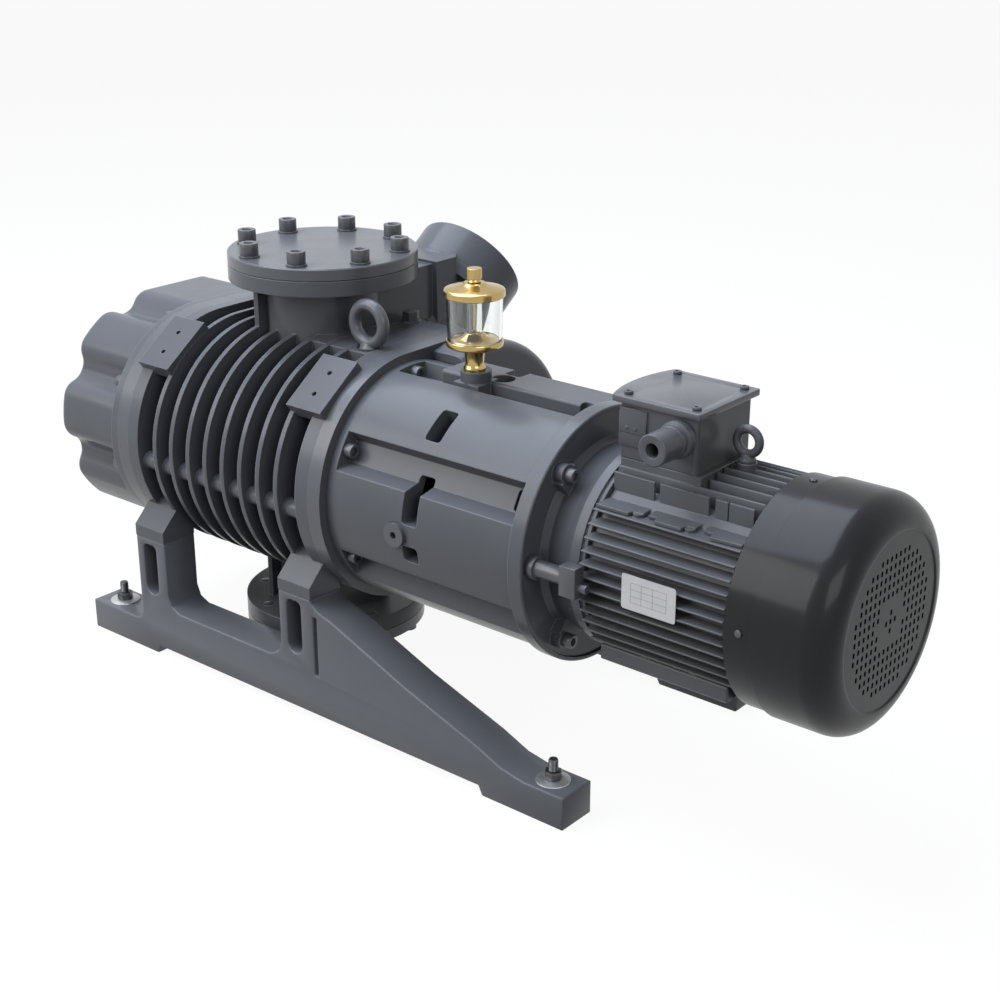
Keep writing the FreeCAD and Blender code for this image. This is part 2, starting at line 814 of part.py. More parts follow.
def idle_bearing_cover():
    # Domed cover over the idle bearing, trimmed clear of the coupling housing.
    profile = [(plate_face, 0.0), (plate_face, flange_rim)]
    corner_x = idle_cover_end - idle_cover_round
    corner_radius = flange_rim - idle_cover_round
    for step in range(7):
        turn = math.radians(15.0 * step)
        profile.append((corner_x + idle_cover_round * math.sin(turn),
                        corner_radius + idle_cover_round * math.cos(turn)))
    profile.append((idle_cover_end, 0.0))
    before = plate_face - 1.0
    after = idle_cover_end + 13.0
    inside = rod(flange_rim - 41.0, plate_face, idle_cover_end - 14.0, idle_y)
    voids = [
        rod(adapter_radius + free_gap + 0.1, before, after),
        inside.cut(rod(adapter_radius + 14.0, before, after)),
        block(before, after, drive_y - flange_rim, 0.0, -flange_rim - 9.0, flange_rim + 9.0),
    ]
    for y, z in idle_bolt_places():
        voids.append(rod(end_screw[0], plate_face, after, y, z))
        voids.append(rod(end_screw[1] + 1.5, idle_cover_end - 7.0, after, y, z))
    return turned_x(profile, idle_y).cut(voids)


def drive_end_screws():
    tip = casing_half + 4.0
    idle_seat = idle_cover_end - 7.0
    long_screw = cap_screw(end_screw, idle_seat - tip)
    short_screw = cap_screw(end_screw, channel_start - tip)
    shapes = [aimed(long_screw, "right", idle_seat, y, z) for y, z in idle_bolt_places()]
    shapes += [aimed(short_screw, "right", channel_start, y, z)
               for y, z in end_bolt_places(adapter_bolt_circle, drive_end_angles) if y < drive_y + 1.0]
    return group(shapes)


def sector(x0, x1, angle0, angle1, inner, outer):
    # Part of a tube about the drive axis between two angles.
    span = angle1 - angle0
    wide = [on_rim(outer, angle0 + span * step / 4.0) for step in range(5)]
    narrow = [on_rim(inner, angle1 - span * step / 4.0) for step in range(5)]
    return polygon([(x0, y, z) for y, z in wide + narrow]).extrude(V(x1 - x0, 0, 0))


def adapter_channels():
    # Flat-bottomed channels that give room for the front screws.
    top = adapter_radius + 8.0
    corners = [(17.5, top), (24.5, channel_floor), (37.0, channel_floor), (38.8, top)]
    face = polygon([(channel_start,) + on_rim(radius, angle) for angle, radius in corners])
    channel = face.extrude(V(channel_end - channel_start, 0, 0))
    shapes = []
    for index in range(channel_count):
        copy = channel.copy()
        copy.rotate(V(0, drive_y, 0), ALONG_X, -360.0 * index / channel_count)
        shapes.append(copy)
    return shapes


def is_window_corner(box):
    # The four long edges of a window, which run away from the drive axis.
    return box.XLength < 0.1 and box.DiagonalLength > adapter_radius - adapter_bore


def adapter_deck():
    # Flat top behind the upper channel, level with the highest line of the housing.
    deck = block(idle_cover_end + 1.0, rim_start, drive_y + 5.0, drive_y + 60.0, 0.5 * adapter_radius,
                 adapter_radius)
    deck = rounded(deck, 4.0, lambda box: box.ZMin > adapter_radius - 0.1 and box.YMax < drive_y + 5.1)
    return deck.cut(rod(adapter_bore + 6.0, idle_cover_end, rim_start + 1.0))


def adapter_windows():
    # Slots round the middle over the coupling, and one at the end of each channel.
    inner = adapter_bore - 3.0
    outer = adapter_radius + 16.0
    middle = plate_face + window_offset
    start = middle - window_length / 2.0
    shapes = []
    for angle0, angle1 in ((44.5, 62.0), (4.5, 29.0), (-14.0, -6.0), (-75.0, -60.0)):
        slot = sector(start, start + window_length, angle0, angle1, inner, outer)
        slot = rounded(slot, window_corner, is_window_corner)
        shapes += [slot, spun(slot, -90.0)]
    for index in range(channel_count):
        turn = 360.0 * index / channel_count
        slot = sector(channel_end - 20.0, channel_end, 25.0 + turn, 36.5 + turn, inner, outer)
        shapes.append(rounded(slot, window_corner, is_window_corner))
    shapes.append(spun(post(15.0, inner, outer, middle, drive_y), 99.0))
    return shapes


def plug_place():
    return (oiler_x + 4.0, on_rim(adapter_radius, -1.6)[1])


def adapter_housing():
    lip = 1.5
    body = turned_x([
        (plate_face, 0.0), (plate_face, adapter_radius), (rim_start - 4.0, adapter_radius),
        (rim_start, adapter_rim), (adapter_end - lip, adapter_rim), (adapter_end, adapter_rim - lip),
        (adapter_end, 0.0),
    ])
    wall = 14.0
    body = body.cut([
        rod(adapter_bore, plate_face + wall, rim_start),
        rod(seal_rim + free_gap, plate_face, plate_face + wall),
        rod(recess_radius, motor_flange_start, adapter_end),
        rod(motor_flange_radius - 35.0, rim_start, motor_flange_start),
    ])
    half = oiler_boss_width / 2.0
    boss_x = oiler_x + 2.0
    sides = (boss_x - half, boss_x + half, drive_y - half, drive_y + half)
    boss = block(*sides, adapter_bore + 4.0, oiler_seat - 14.0)
    boss = boss.fuse(post(half, oiler_seat - 14.0, oiler_seat, boss_x, drive_y))
    keep = block(*sides, adapter_bore - 18.0, oiler_seat)
    body = body.cut(adapter_channels()).fuse(adapter_deck())
    body = body.cut([window.cut(keep) for window in adapter_windows()]).fuse(boss)
    plug_x, plug_z = plug_place()
    surface = drive_y - adapter_radius
    voids = [
        post(oiler_bore, 100.0, oiler_seat, oiler_x, drive_y),
        bar(plug_radius + free_gap, surface - 5.0, surface + 1.0, plug_x, plug_z),
        bar(plug_radius - 4.0, surface - 5.0, surface + 50.0, plug_x, plug_z),
    ]
    voids += [rod(end_screw[0], plate_face, channel_start + 3.0, y, z)
              for y, z in end_bolt_places(adapter_bolt_circle, drive_end_angles) if y < drive_y + 1.0]
    for angle in motor_bolt_angles():
        y, z = on_rim(motor_bolt_circle, angle)
        voids.append(rod(motor_screw[0], rim_start - 2.0, adapter_end, y, z))
    return body.cut(voids)


def inspection_plug():
    plug_x, plug_z = plug_place()
    surface = drive_y - adapter_radius
    head = bar(plug_radius, surface - 5.0, surface + 1.0, plug_x, plug_z)
    shank = bar(plug_radius - 4.0 - thread_gap, surface - 1.0, surface + 29.0, plug_x, plug_z)
    return head.fuse(shank).cut(bar(4.6, surface - 5.0, surface + 3.0, plug_x, plug_z))


def shaft_seal():
    neck = seal_rim - 15.7
    inside = shaft_radius + 6.0
    carrier = turned_x([
        (plate_face, inside), (plate_face, seal_rim), (plate_face + 26.0, seal_rim),
        (plate_face + 26.0, neck), (plate_face + 50.0, neck - 4.0), (plate_face + 50.0, inside)])
    return carrier.fuse(tube(inside, shaft_radius + running_gap, plate_face + 8.0, plate_face + 44.0))


# Coupling

def jaws(x0, x1, first):
    inner = shaft_radius + 4.0
    return [sector(x0, x1, angle - jaw_half_angle, angle + jaw_half_angle, inner, hub_radius)
            for angle in (first, first + 120.0, first + 240.0)]


def pump_coupling_hub():
    hub = tube(hub_radius, shaft_end_radius, pump_hub_start, jaw_start)
    return join([hub] + jaws(jaw_start, jaw_end - 2.0, 0.0))


def motor_coupling_hub():
    hub = tube(hub_radius, motor_shaft, jaw_end, motor_hub_end)
    return join([hub] + jaws(jaw_start + 2.0, jaw_end, 60.0))


def coupling_spider():
    # Six elastic legs, one on each side of every jaw.
    half = jaw_half_angle + 0.6
    slots = [sector(jaw_start + 2.0, jaw_end - 2.0, 60.0 * index - half, 60.0 * index + half,
                    shaft_radius + 3.4, hub_radius + 8.0) for index in range(6)]
    return tube(hub_radius - 2.0, 12.0, jaw_start + 2.0, jaw_end - 2.0).cut(slots)


# Motor

def motor_front_shield():
    # Bell from the flange to the finned frame, with its bearing seat and screw lugs.
    spigot = motor_flange_radius - 35.2
    x0 = motor_flange_start
    x1 = motor_flange_end
    body = turned_x([
        (x0 - 5.0, front_bearing_rim), (x0 - 5.0, spigot), (x0, spigot), (x0, motor_flange_radius),
        (x1, motor_flange_radius), (x1, motor_core + 6.0), (x1 + 8.0, motor_core + 1.0),
        (x1 + 34.0, motor_core + 4.0), (frame_start - 18.0, motor_core + 9.0),
        (frame_start - 6.0, motor_core + 9.0), (frame_start - 6.0, motor_core + 6.0),
        (frame_start, motor_core + 6.0), (frame_start, stator_radius + 4.0),
        (frame_start - 14.0, stator_radius + 4.0), (x1 + 8.0, stator_radius - 4.0),
        (x1 + 4.0, front_bearing_rim),
    ])
    lug_end = x1 + 14.0
    lugs = []
    voids = [rod(4.4, x0, x1, *support_bolt_place())]
    for angle in motor_bolt_angles():
        y, z = on_rim(motor_bolt_circle, angle)
        lug = block(x1, lug_end, drive_y - 15.0, drive_y + 15.0, motor_core - 8.0, motor_bolt_circle - 0.5)
        lugs += [spun(lug, angle), rod(12.0, x1, lug_end, y, z)]
        voids.append(rod(motor_screw[0], x0, lug_end, y, z))
    return join([body] + lugs).cut(voids)


def motor_flange_screws():
    seat = motor_flange_end + 14.0
    screw = cap_screw(motor_screw, seat - rim_start)
    places = [on_rim(motor_bolt_circle, angle) for angle in motor_bolt_angles()]
    return group([aimed(screw, "right", seat, y, z) for y, z in places])


def support_bolt_place():
    return (drive_y - fin_tip - support_bolt_offset, 4.0)


def support_bolt():
    # Long stud from the motor flange to its clamp block in front of the fins.
    y, z = support_bolt_place()
    shoulder = adapter_end + 9.0
    clamp_start = frame_start - 13.0
    clamp_end = frame_start + 9.0
    return join([
        rod(4.2, motor_flange_start + 1.0, motor_flange_end + 1.0, y, z),
        rod(14.0, motor_flange_end, shoulder, y, z),
        rod(10.0, shoulder, clamp_start, y, z),
        block(clamp_start, clamp_end, y - 12.0, drive_y - fin_tip - 0.5, z - 18.0, z + 18.0),
        rod(5.0, clamp_end, clamp_end + 10.0, y - 2.0, z - 6.0),
    ])


def motor_fins():
    # Flat fins stand out to both sides and, in a second set, up and down.
    half = fin_thickness / 2.0
    shapes = []
    for index in range(-6, 7):
        z = index * fin_pitch
        tip = math.sqrt(fin_tip ** 2 - z ** 2)
        root = math.sqrt(motor_core ** 2 - z ** 2) - 3.0
        front = block(frame_start, frame_end, drive_y - tip, drive_y - root, z - half, z + half)
        shapes += [front, mirrored_y(front, drive_y)]
    beside_box = box_end + 4.5
    for index in range(-5, 6):
        offset = index * fin_pitch
        y = drive_y + offset
        tip = math.sqrt((fin_tip + 1.0) ** 2 - offset ** 2)
        root = math.sqrt(motor_core ** 2 - offset ** 2) - 3.0
        top_start = beside_box if y < box_back - 4.0 else frame_start
        shapes.append(block(frame_start, frame_end, y - half, y + half, -tip, -root))
        shapes.append(block(top_start, frame_end, y - half, y + half, root, tip))
    return shapes


def motor_corner_blocks():
    # Stepped blocks above and below the side fins, in three lengths along the frame.
    shapes = []
    for x0, x1 in ((4.0, 60.0), (72.0, 132.0), (142.0, frame_length - 2.0)):
        start = frame_start + x0
        end = frame_start + x1
        shapes.append(block(start, end, drive_y - 97.0, drive_y - 66.0, 83.0, 92.0))
        shapes.append(block(start, end, drive_y - 78.0, drive_y - 60.0, 88.0, 106.0))
        shapes.append(block(start, end, drive_y - 97.0, drive_y - 66.0, -93.0, -72.0))
    return shapes + [mirrored_y(shape, drive_y) for shape in shapes]


def motor_frame():
    core = rod(motor_core, frame_start, frame_end)
    pedestal_front = box_front + box_edge
    pedestal_back = box_back - box_edge
    pedestal = block(frame_start + 0.4, box_end + 0.5, pedestal_front, pedestal_back, stator_radius, box_base)
    eye_boss = post(11.0, motor_core - 12.0, motor_eye_seat, motor_eye_x, drive_y)
    return join([core, pedestal, eye_boss] + motor_fins() + motor_corner_blocks()).cut([
        rod(stator_radius, frame_start, frame_end),
        post(30.0, 80.0, box_base, box_middle, drive_y),
        post(motor_eye_thread[0], motor_core, motor_eye_seat, motor_eye_x, drive_y),
    ])


def stator():
    core_start = frame_start + 36.0
    core_end = frame_end - 34.0
    return join([
        tube(stator_radius, stator_bore, core_start, core_end),
        tube(stator_radius - 4.0, stator_bore + 3.0, core_start - 26.0, core_start),
        tube(stator_radius - 4.0, stator_bore + 3.0, core_end, core_end + 22.0),
    ])


def motor_rotor():
    return join([
        rod(motor_shaft, jaw_end + 8.0, motor_flange_start - 5.0),
        rod(motor_shaft + 3.0, motor_flange_start - 5.0, frame_start - 2.0),
        rod(motor_shaft + 7.0, frame_start - 2.0, frame_end + 2.0),
        rod(stator_bore - air_gap, frame_start + 36.0, frame_end - 34.0),
        rod(motor_shaft, frame_end + 2.0, frame_end + fan_inset + fan_width + 6.0),
    ])


def motor_bearings():
    front_bore = motor_shaft + 3.0 + running_gap
    return group([
        tube(front_bearing_rim, front_bore, motor_flange_start - 4.0, motor_flange_end + 3.0),
        tube(rear_bearing_rim, motor_shaft + running_gap, frame_end + 4.0, frame_end + 18.0),
    ])


def cowl_screw_angles():
    return [1.4 + 90.0 * index for index in range(4)]


def cowl_screw_x():
    return cowl_start + 18.5


def motor_rear_shield():
    # Dished shield with four lugs that the cowl is screwed to.
    x = frame_end
    body = turned_x([
        (x, rear_bearing_rim), (x, motor_core + 6.0), (x + 6.0, motor_core + 6.0),
        (x + 10.0, motor_core - 4.0), (x + 18.0, 50.0), (x + 22.0, 40.0), (x + 22.0, 24.0),
        (x + 18.0, 24.0), (x + 18.0, rear_bearing_rim)])
    inside_cowl = cowl_band_radius - cowl_sheet - 0.4
    lug = block(x + 2.0, x + 30.0, drive_y - 9.0, drive_y + 9.0, motor_core - 12.0, inside_cowl)
    hole = post(cowl_screw[0], motor_core, fin_tip + 2.0, cowl_screw_x(), drive_y)
    return join([body] + [spun(lug, angle) for angle in cowl_screw_angles()]).cut(
        [spun(hole, angle) for angle in cowl_screw_angles()])


def cooling_fan():
    plate_x = frame_end + fan_inset
    blade_end = plate_x + fan_width - 2.0
    blade = block(plate_x + 4.0, blade_end, drive_y - 1.5, drive_y + 1.5, 0.3 * fan_radius, fan_radius)
    hub = tube(motor_shaft + 15.0, motor_shaft, plate_x + 2.0, plate_x + fan_width)
    plate = tube(fan_radius, 0.3 * fan_radius, plate_x, plate_x + 4.0)
    return join([hub, plate] + [spun(blade, 360.0 * index / fan_blades) for index in range(fan_blades)])


def cowl_line(inset):
    # Half of the cowl's section on one side of the sheet, from its mouth to the grille.
    band = cowl_band_radius - inset
    drum = cowl_radius - inset
    corner = cowl_round - inset
    end = cowl_end - inset
    step = cowl_start + cowl_band
    y = drive_y
    middle = corner * math.sqrt(0.5)
    return [
        Part.LineSegment(V(cowl_start, y, band), V(step - 1.0, y, band)).toShape(),
        Part.LineSegment(V(step - 1.0, y, band), V(step + 1.0, y, drum)).toShape(),
        Part.LineSegment(V(step + 1.0, y, drum), V(end - corner, y, drum)).toShape(),
        Part.Arc(V(end - corner, y, drum), V(end - corner + middle, y, drum - corner + middle),
                 V(end, y, drum - corner)).toShape(),
        Part.LineSegment(V(end, y, drum - corner), V(end, y, grille_radius)).toShape(),
    ]


def fan_cowl():
    # Drawn sheet with a band over the frame, a step, a large round and an open end.
    mouth = Part.LineSegment(V(cowl_start, drive_y, cowl_band_radius - cowl_sheet),
                             V(cowl_start, drive_y, cowl_band_radius)).toShape()
    edge = Part.LineSegment(V(cowl_end, drive_y, grille_radius),
                            V(cowl_end - cowl_sheet, drive_y, grille_radius)).toShape()
    wire = Part.Wire(Part.__sortEdges__(cowl_line(0.0) + [edge] + cowl_line(cowl_sheet) + [mouth]))
    sheet = Part.Face(wire).revolve(V(0, drive_y, 0), ALONG_X, 360)
    hole = post(cowl_screw[0], cowl_band_radius - 8.0, cowl_band_radius + 2.0, cowl_screw_x(), drive_y)
    return sheet.cut([spun(hole, angle) for angle in cowl_screw_angles()])


def cowl_screws():
    shank, head, height = cowl_screw
    seat = cowl_band_radius + thread_gap
    screw = post(shank - thread_gap, cowl_band_radius - 14.0, seat, cowl_screw_x(), drive_y)
    screw = screw.fuse(post(head, seat, seat + height - thread_gap, cowl_screw_x(), drive_y))
    return group([spun(screw, angle) for angle in cowl_screw_angles()])


def cowl_grille():
    # Disc with rows of small slots, and a plain ring round its middle.
    slot_height = 6.0
    slot_width = 4.2
    row_pitch = 10.6
    column_pitch = 9.6
    x = cowl_end - cowl_sheet
    rows = int(grille_radius / row_pitch)
    columns = int(grille_radius / column_pitch)
    slots = []
    for row in range(-rows, rows + 1):
        for column in range(-columns, columns + 1):
            y = column * column_pitch
            z = row * row_pitch
            distance = math.hypot(y, z)
            if distance > grille_radius - 5.0 or 14.0 < distance < 30.0:
                continue
            slots.append(polygon([
                (x, drive_y + y + side_y * slot_width / 2.0, z + side_z * slot_height / 2.0)
                for side_y, side_z in ((-1.0, -1.0), (-1.0, 1.0), (1.0, 1.0), (1.0, -1.0))]))
    disc = Part.Face(Part.Wire([Part.makeCircle(grille_radius, V(x, drive_y, 0), ALONG_X)]))
    return disc.cut(slots).extrude(V(cowl_sheet, 0, 0))


# Terminal box

def lid_screw_places():
    return [(x, y) for x in (box_start + 13.0, box_end - 13.0) for y in (box_front + 13.0, box_back - 13.0)]


def terminal_box():
    edge = box_edge
    body = block(box_start + edge, box_end - edge, box_front + edge, box_back - edge, box_base, lid_bottom)
    body = rounded(body, edge, lambda box: box.ZLength > 0.5 * box_height)
    wall = edge + box_wall
    floor = box_base + box_wall
    hollow = block(box_start + wall, box_end - wall, box_front + wall, box_back - wall, floor, lid_bottom)
    body = body.cut([hollow, post(20.0, box_base, floor, box_middle, drive_y)])
    body = body.fuse([post(6.5, floor, lid_bottom, x, y) for x, y in lid_screw_places()])
    voids = [post(lid_screw[0], lid_bottom - 12.0, lid_bottom, x, y) for x, y in lid_screw_places()]
    voids.append(bar(2.0 * cable_bore, box_front - 1.0, box_front + 20.0, gland_x, gland_z))
    blank_start = box_start + 8.0
    blank_bottom = box_base + 30.0
    blank = block(blank_start, blank_start + 36.0, box_front + edge - 3.0, box_front + edge,
                  blank_bottom, blank_bottom + 29.0)
    return body.cut(voids).fuse(blank)


def terminal_box_lid():
    # Flat lid whose pump side bows out in a shallow arc.
    z = lid_bottom
    corners = [V(x, y, z) for x, y in (
        (box_start, box_back), (box_end, box_back), (box_end, box_front), (box_start, box_front))]
    edges = [Part.LineSegment(corners[index], corners[index + 1]).toShape() for index in range(3)]
    edges.append(Part.Arc(corners[3], V(box_start - lid_bulge, drive_y, z), corners[0]).toShape())
    lid = Part.Face(Part.Wire(edges)).extrude(V(0, 0, lid_thickness))
    lid = rounded(lid, 3.0, lambda box: box.ZLength > 0.5 * lid_thickness)
    return lid.cut([post(lid_screw[0] + 0.4, lid_bottom, lid_top, x, y) for x, y in lid_screw_places()])


def lid_screws():
    screw = cap_screw(lid_screw, lid_thickness + 11.0)
    return group([aimed(screw, "up", x, y, lid_top) for x, y in lid_screw_places()])


def cable_gland():
    outer_end = box_front - 48.0
    inner_end = box_front + 13.0
    body = join([
        bar(2.0 * cable_bore - thread_gap, box_front + 1.0, inner_end, gland_x, gland_z),
        bar(21.0, box_front - 3.0, box_front + 6.0, gland_x, gland_z),
        bar(18.0, outer_end, box_front - 3.0, gland_x, gland_z),
    ])
    return body.cut(bar(cable_bore, outer_end, inner_end, gland_x, gland_z))


def terminal_board():
    floor = box_base + box_wall
    top = floor + 11.0
    board = block(box_middle - 36.0, box_middle + 30.0, drive_y - 26.0, drive_y + 26.0, floor, top)
    studs = [post(3.0, top, top + 18.0, box_middle - 25.0 + 22.0 * index, drive_y + side)
             for index in range(3) for side in (-14.0, 14.0)]
    return board.cut(post(12.0, floor, top, box_middle + 8.0, drive_y)).fuse(studs)


def rating_plate():
    # Blank plate across the tips of the front fins.
    face = drive_y - fin_tip
    return block(frame_start + 60.0, frame_start + 130.0, face - 1.2, face, -12.0, 29.0)


# Lifting eyes

def eye_bolt(x, y, seat, ring_radius, wire_radius, neck, collar, size, depth):
    centre = seat + neck + wire_radius + ring_radius
    eye = Part.makeTorus(ring_radius, wire_radius, V(x, y, centre), ALONG_Y)
    foot = post(collar, seat, seat + 0.5 * collar, x, y)
    stem = post(0.95 * wire_radius, seat, centre - ring_radius, x, y)
    thread = post(size[0] - thread_gap, seat - depth, seat, x, y)
    return join([eye, stem, foot, thread])


def lifting_eye():
    return eye_bolt(lifting_eye_x, lifting_eye_y, casing_eye_seat, 24.5, 8.0, 0.0, 13.0, end_screw, 18.0)


def motor_eye_bolt():
    return eye_bolt(motor_eye_x, drive_y, motor_eye_seat, 14.0, 5.0, 4.0, 10.0, motor_eye_thread, 16.0)


# Drip oiler

def oiler_base():
    thread = oiler_bore - thread_gap
    tube_radius = 9.0
    body = turned_z([
        (0.0, oiler_seat - 12.0), (thread, oiler_seat - 12.0), (thread, oiler_seat), (13.5, oiler_seat),
        (13.5, oiler_seat + 3.0), (11.5, oiler_seat + 5.0), (11.5, glass_bottom - 17.0),
        (14.0, glass_bottom - 13.0), (oiler_glass_radius - 2.0, glass_bottom - 9.0),
        (oiler_glass_radius + 1.5, glass_bottom - 6.0), (oiler_glass_radius + 1.5, glass_bottom),
        (0.0, glass_bottom)], oiler_x, drive_y)
    return body.fuse(ring(tube_radius, oiler_bore + 0.6, glass_bottom, glass_top, oiler_x, drive_y))


def oiler_glass():
    inner = oiler_glass_radius - oiler_glass_wall
    return turned_z([
        (inner, glass_bottom), (oiler_glass_radius, glass_bottom),
        (oiler_glass_radius + 1.0, glass_top), (inner + 1.0, glass_top)], oiler_x, drive_y)


def oiler_cap():
    return turned_z([
        (oiler_bore, glass_top), (oiler_cap_radius, glass_top), (oiler_cap_radius, cap_top),
        (oiler_cap_radius - 2.0, cap_top + 1.5), (20.0, cap_top + 6.0), (12.0, cap_top + 8.0),
        (oiler_bore, cap_top + 8.0)], oiler_x, drive_y)


def oiler_knob():
    # Needle through the sight tube, with its knob on top of the cap.
    stem = oiler_bore - running_gap
    knob_bottom = cap_top + 8.0 + free_gap
    return turned_z([
        (0.0, glass_bottom + 4.0), (2.0, glass_bottom + 10.0), (2.0, glass_top - 4.0),
        (stem, glass_top - 4.0), (stem, knob_bottom), (oiler_knob_radius - 1.8, knob_bottom),
        (oiler_knob_radius - 1.8, knob_bottom + 4.0), (oiler_knob_radius, knob_bottom + 4.0),
        (oiler_knob_radius, knob_top - 1.0), (oiler_knob_radius - 1.0, knob_top), (0.0, knob_top)
    ], oiler_x, drive_y)


# Base rails

def rail_screw_y():
    return rail_front + 0.62 * rail_thickness


def rail_outline():
    # Foot, sill, two columns and the long brace, as a closed line in the XZ plane.
    run = rail_end - column_out
    rise = seat_z - foot_top
    recess_z = floor_z + foot_recess
    corner = 22.0
    cut = 6.5
    brace = [(column_out + along * run, foot_top + up * rise) for along, up in (
        (0.853, 0.0), (0.769, 0.046), (0.674, 0.172), (0.396, 0.466), (0.092, 0.845),
        (0.025, 0.907), (0.0, 0.969))]
    line = [(rail_start, floor_z), (-column_x - 1.0, floor_z), (-column_x + 5.0, recess_z),
            (rail_end - 127.0, recess_z), (rail_end - 121.0, floor_z), (rail_end, floor_z),
            (rail_end, foot_top)]
    line += brace
    line += [(column_out, seat_z), (column_in, seat_z), (column_in, sill_z + corner),
             (column_in - cut, sill_z + cut), (column_in - corner, sill_z), (corner - column_in, sill_z),
             (cut - column_in, sill_z + cut), (-column_in, sill_z + corner), (-column_in, seat_z),
             (-column_out, seat_z), (-column_out, foot_top + 14.0), (-column_out - 4.0, foot_top + 4.0),
             (-column_out - 14.0, foot_top), (rail_start, foot_top)]
    return line


def rail_pocket(side):
    # Round-bottomed pocket in the front of a column, for the screw into the casing.
    half = 13.0
    depth = rail_screw_y() - rail_front + rail_screw[1] + 1.0
    bottom = seat_z - 70.0
    middle = side * column_x - 2.5
    upper = block(middle - half, middle + half, rail_front, rail_front + depth, bottom, seat_z - 18.0)
    crown = block(middle - half, middle + half, rail_front, rail_front + 12.0, bottom, seat_z - 9.0)
    crown = rounded(crown, 8.0, lambda box: box.ZMin > seat_z - 9.1 and box.XLength < 0.1)
    return upper.fuse([crown, bar(half, rail_front, rail_front + depth, middle, bottom)])


def front_rail():
    body = polygon([(x, rail_front, z) for x, z in rail_outline()]).extrude(V(0, rail_thickness, 0))
    groove = block(column_out + 3.0, column_out + 10.0, rail_front, rail_front + 6.0,
                   sill_z - 6.0, seat_z - 22.0)
    voids = [groove]
    for side in (-1.0, 1.0):
        voids.append(rail_pocket(side))
        voids.append(post(rail_screw[0] + 1.0, seat_z - 20.0, seat_z, side * column_x, rail_screw_y()))
    for x, y in stud_places:
        voids.append(post(stud_radius + 1.0, floor_z, foot_top + 2.0, x, y))
    return body.cut(voids)


def rail_screws():
    seat = seat_z - 18.0
    screw = cap_screw(rail_screw, rail_screw_length)
    return group([aimed(screw, "down", side * column_x, way * rail_screw_y(), seat)
                  for side in (-1.0, 1.0) for way in (1.0, -1.0)])


def anchor_washers():
    washer = ring(stud_washer_radius, stud_radius + 0.6, foot_top, foot_top + 3.0)
    return group([aimed(washer, "up", x, y, 0.0) for x, y in stud_places])


def anchor_studs():
    shapes = []
    for x, y in stud_places:
        nut = hexagon(19.0, foot_top + 3.0, foot_top + 13.0, x, y)
        shapes.append(post(stud_radius, floor_z, foot_top + stud_reach, x, y).fuse(nut))
    return group(shapes)


def base_shift():
    # Brings the middle of the whole pump's footprint, at floor level, to the origin.
    lean = math.radians(valve_angle)
    corner_out = valve_cover_end - valve_cover_round
    corner_up = valve_rim - valve_cover_round
    back = idle_y + corner_out * math.cos(lean) + corner_up * math.sin(lean) + valve_cover_round
    left = gear_cover_end - 9.0
    return V(-(left + cowl_end) / 2.0, -(rail_front + back) / 2.0, -floor_z)


pieces = {
    "rotor_casing": rotor_casing(),
    "gear_end_plate": end_plate(-1.0, end_bolt_places(cover_bolt_circle, gear_end_angles)),
    "drive_end_plate": end_plate(1.0, end_bolt_places(adapter_bolt_circle, drive_end_angles)),
    "rotor_bearings": rotor_bearings(),
    "drive_rotor": drive_rotor(),
    "idle_rotor": idle_rotor(),
    "drive_timing_gear": timing_gear(drive_y),
    "idle_timing_gear": timing_gear(idle_y),
    "oil_slinger": oil_slinger(),
    "gear_cover": gear_cover(),
    "gear_cover_screws": gear_cover_screws(),
    "oil_sight_glass": oil_sight_glass(),
    "oil_plugs": oil_plugs(),
    "inlet_cover": inlet_cover(),
    "inlet_screws": inlet_screws(),
    "port_gaskets": port_gaskets(),
    "outlet_counter_flange": outlet_counter_flange(),
    "outlet_screws": outlet_screws(),
    "valve_seat": valve_seat(),
    "valve_disc": valve_disc(),
    "valve_cover": valve_cover(),
    "valve_cover_screws": valve_cover_screws(),
    "idle_bearing_cover": idle_bearing_cover(),
    "drive_end_screws": drive_end_screws(),
    "adapter_housing": adapter_housing(),
    "inspection_plug": inspection_plug(),
    "shaft_seal": shaft_seal(),
    "pump_coupling_hub": pump_coupling_hub(),
    "motor_coupling_hub": motor_coupling_hub(),
    "coupling_spider": coupling_spider(),
    "motor_front_shield": motor_front_shield(),
    "motor_flange_screws": motor_flange_screws(),
    "support_bolt": support_bolt(),
    "motor_frame": motor_frame(),
    "stator": stator(),
    "motor_rotor": motor_rotor(),
    "motor_bearings": motor_bearings(),
    "motor_rear_shield": motor_rear_shield(),
    "cooling_fan": cooling_fan(),
    "fan_cowl": fan_cowl(),
    "cowl_screws": cowl_screws(),
    "cowl_grille": cowl_grille(),
    "terminal_box": terminal_box(),
    "terminal_box_lid": terminal_box_lid(),
    "lid_screws": lid_screws(),
    "cable_gland": cable_gland(),
    "terminal_board": terminal_board(),
    "rating_plate": rating_plate(),
    "lifting_eye": lifting_eye(),
    "motor_eye_bolt": motor_eye_bolt(),
    "oiler_base": oiler_base(),
    "oiler_glass": oiler_glass(),
    "oiler_cap": oiler_cap(),
    "oiler_knob": oiler_knob(),
    "front_rail": front_rail(),
    "rear_rail": mirrored_y(front_rail()),
    "rail_screws": rail_screws(),
    "anchor_washers": anchor_washers(),
    "anchor_studs": anchor_studs(),
}

shift = base_shift()
os.makedirs("parts", exist_ok=True)
for name, shape in pieces.items():
    placed = shape.copy()
    placed.translate(shift)
    placed.exportStep(os.path.join("parts", name + ".step"))
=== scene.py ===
"""Looks of a roots vacuum pump on its rails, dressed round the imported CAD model."""

import math

import bmesh
import bpy
from bpy.props import FloatProperty, FloatVectorProperty, IntProperty, PointerProperty
from mathutils import Matrix, Vector


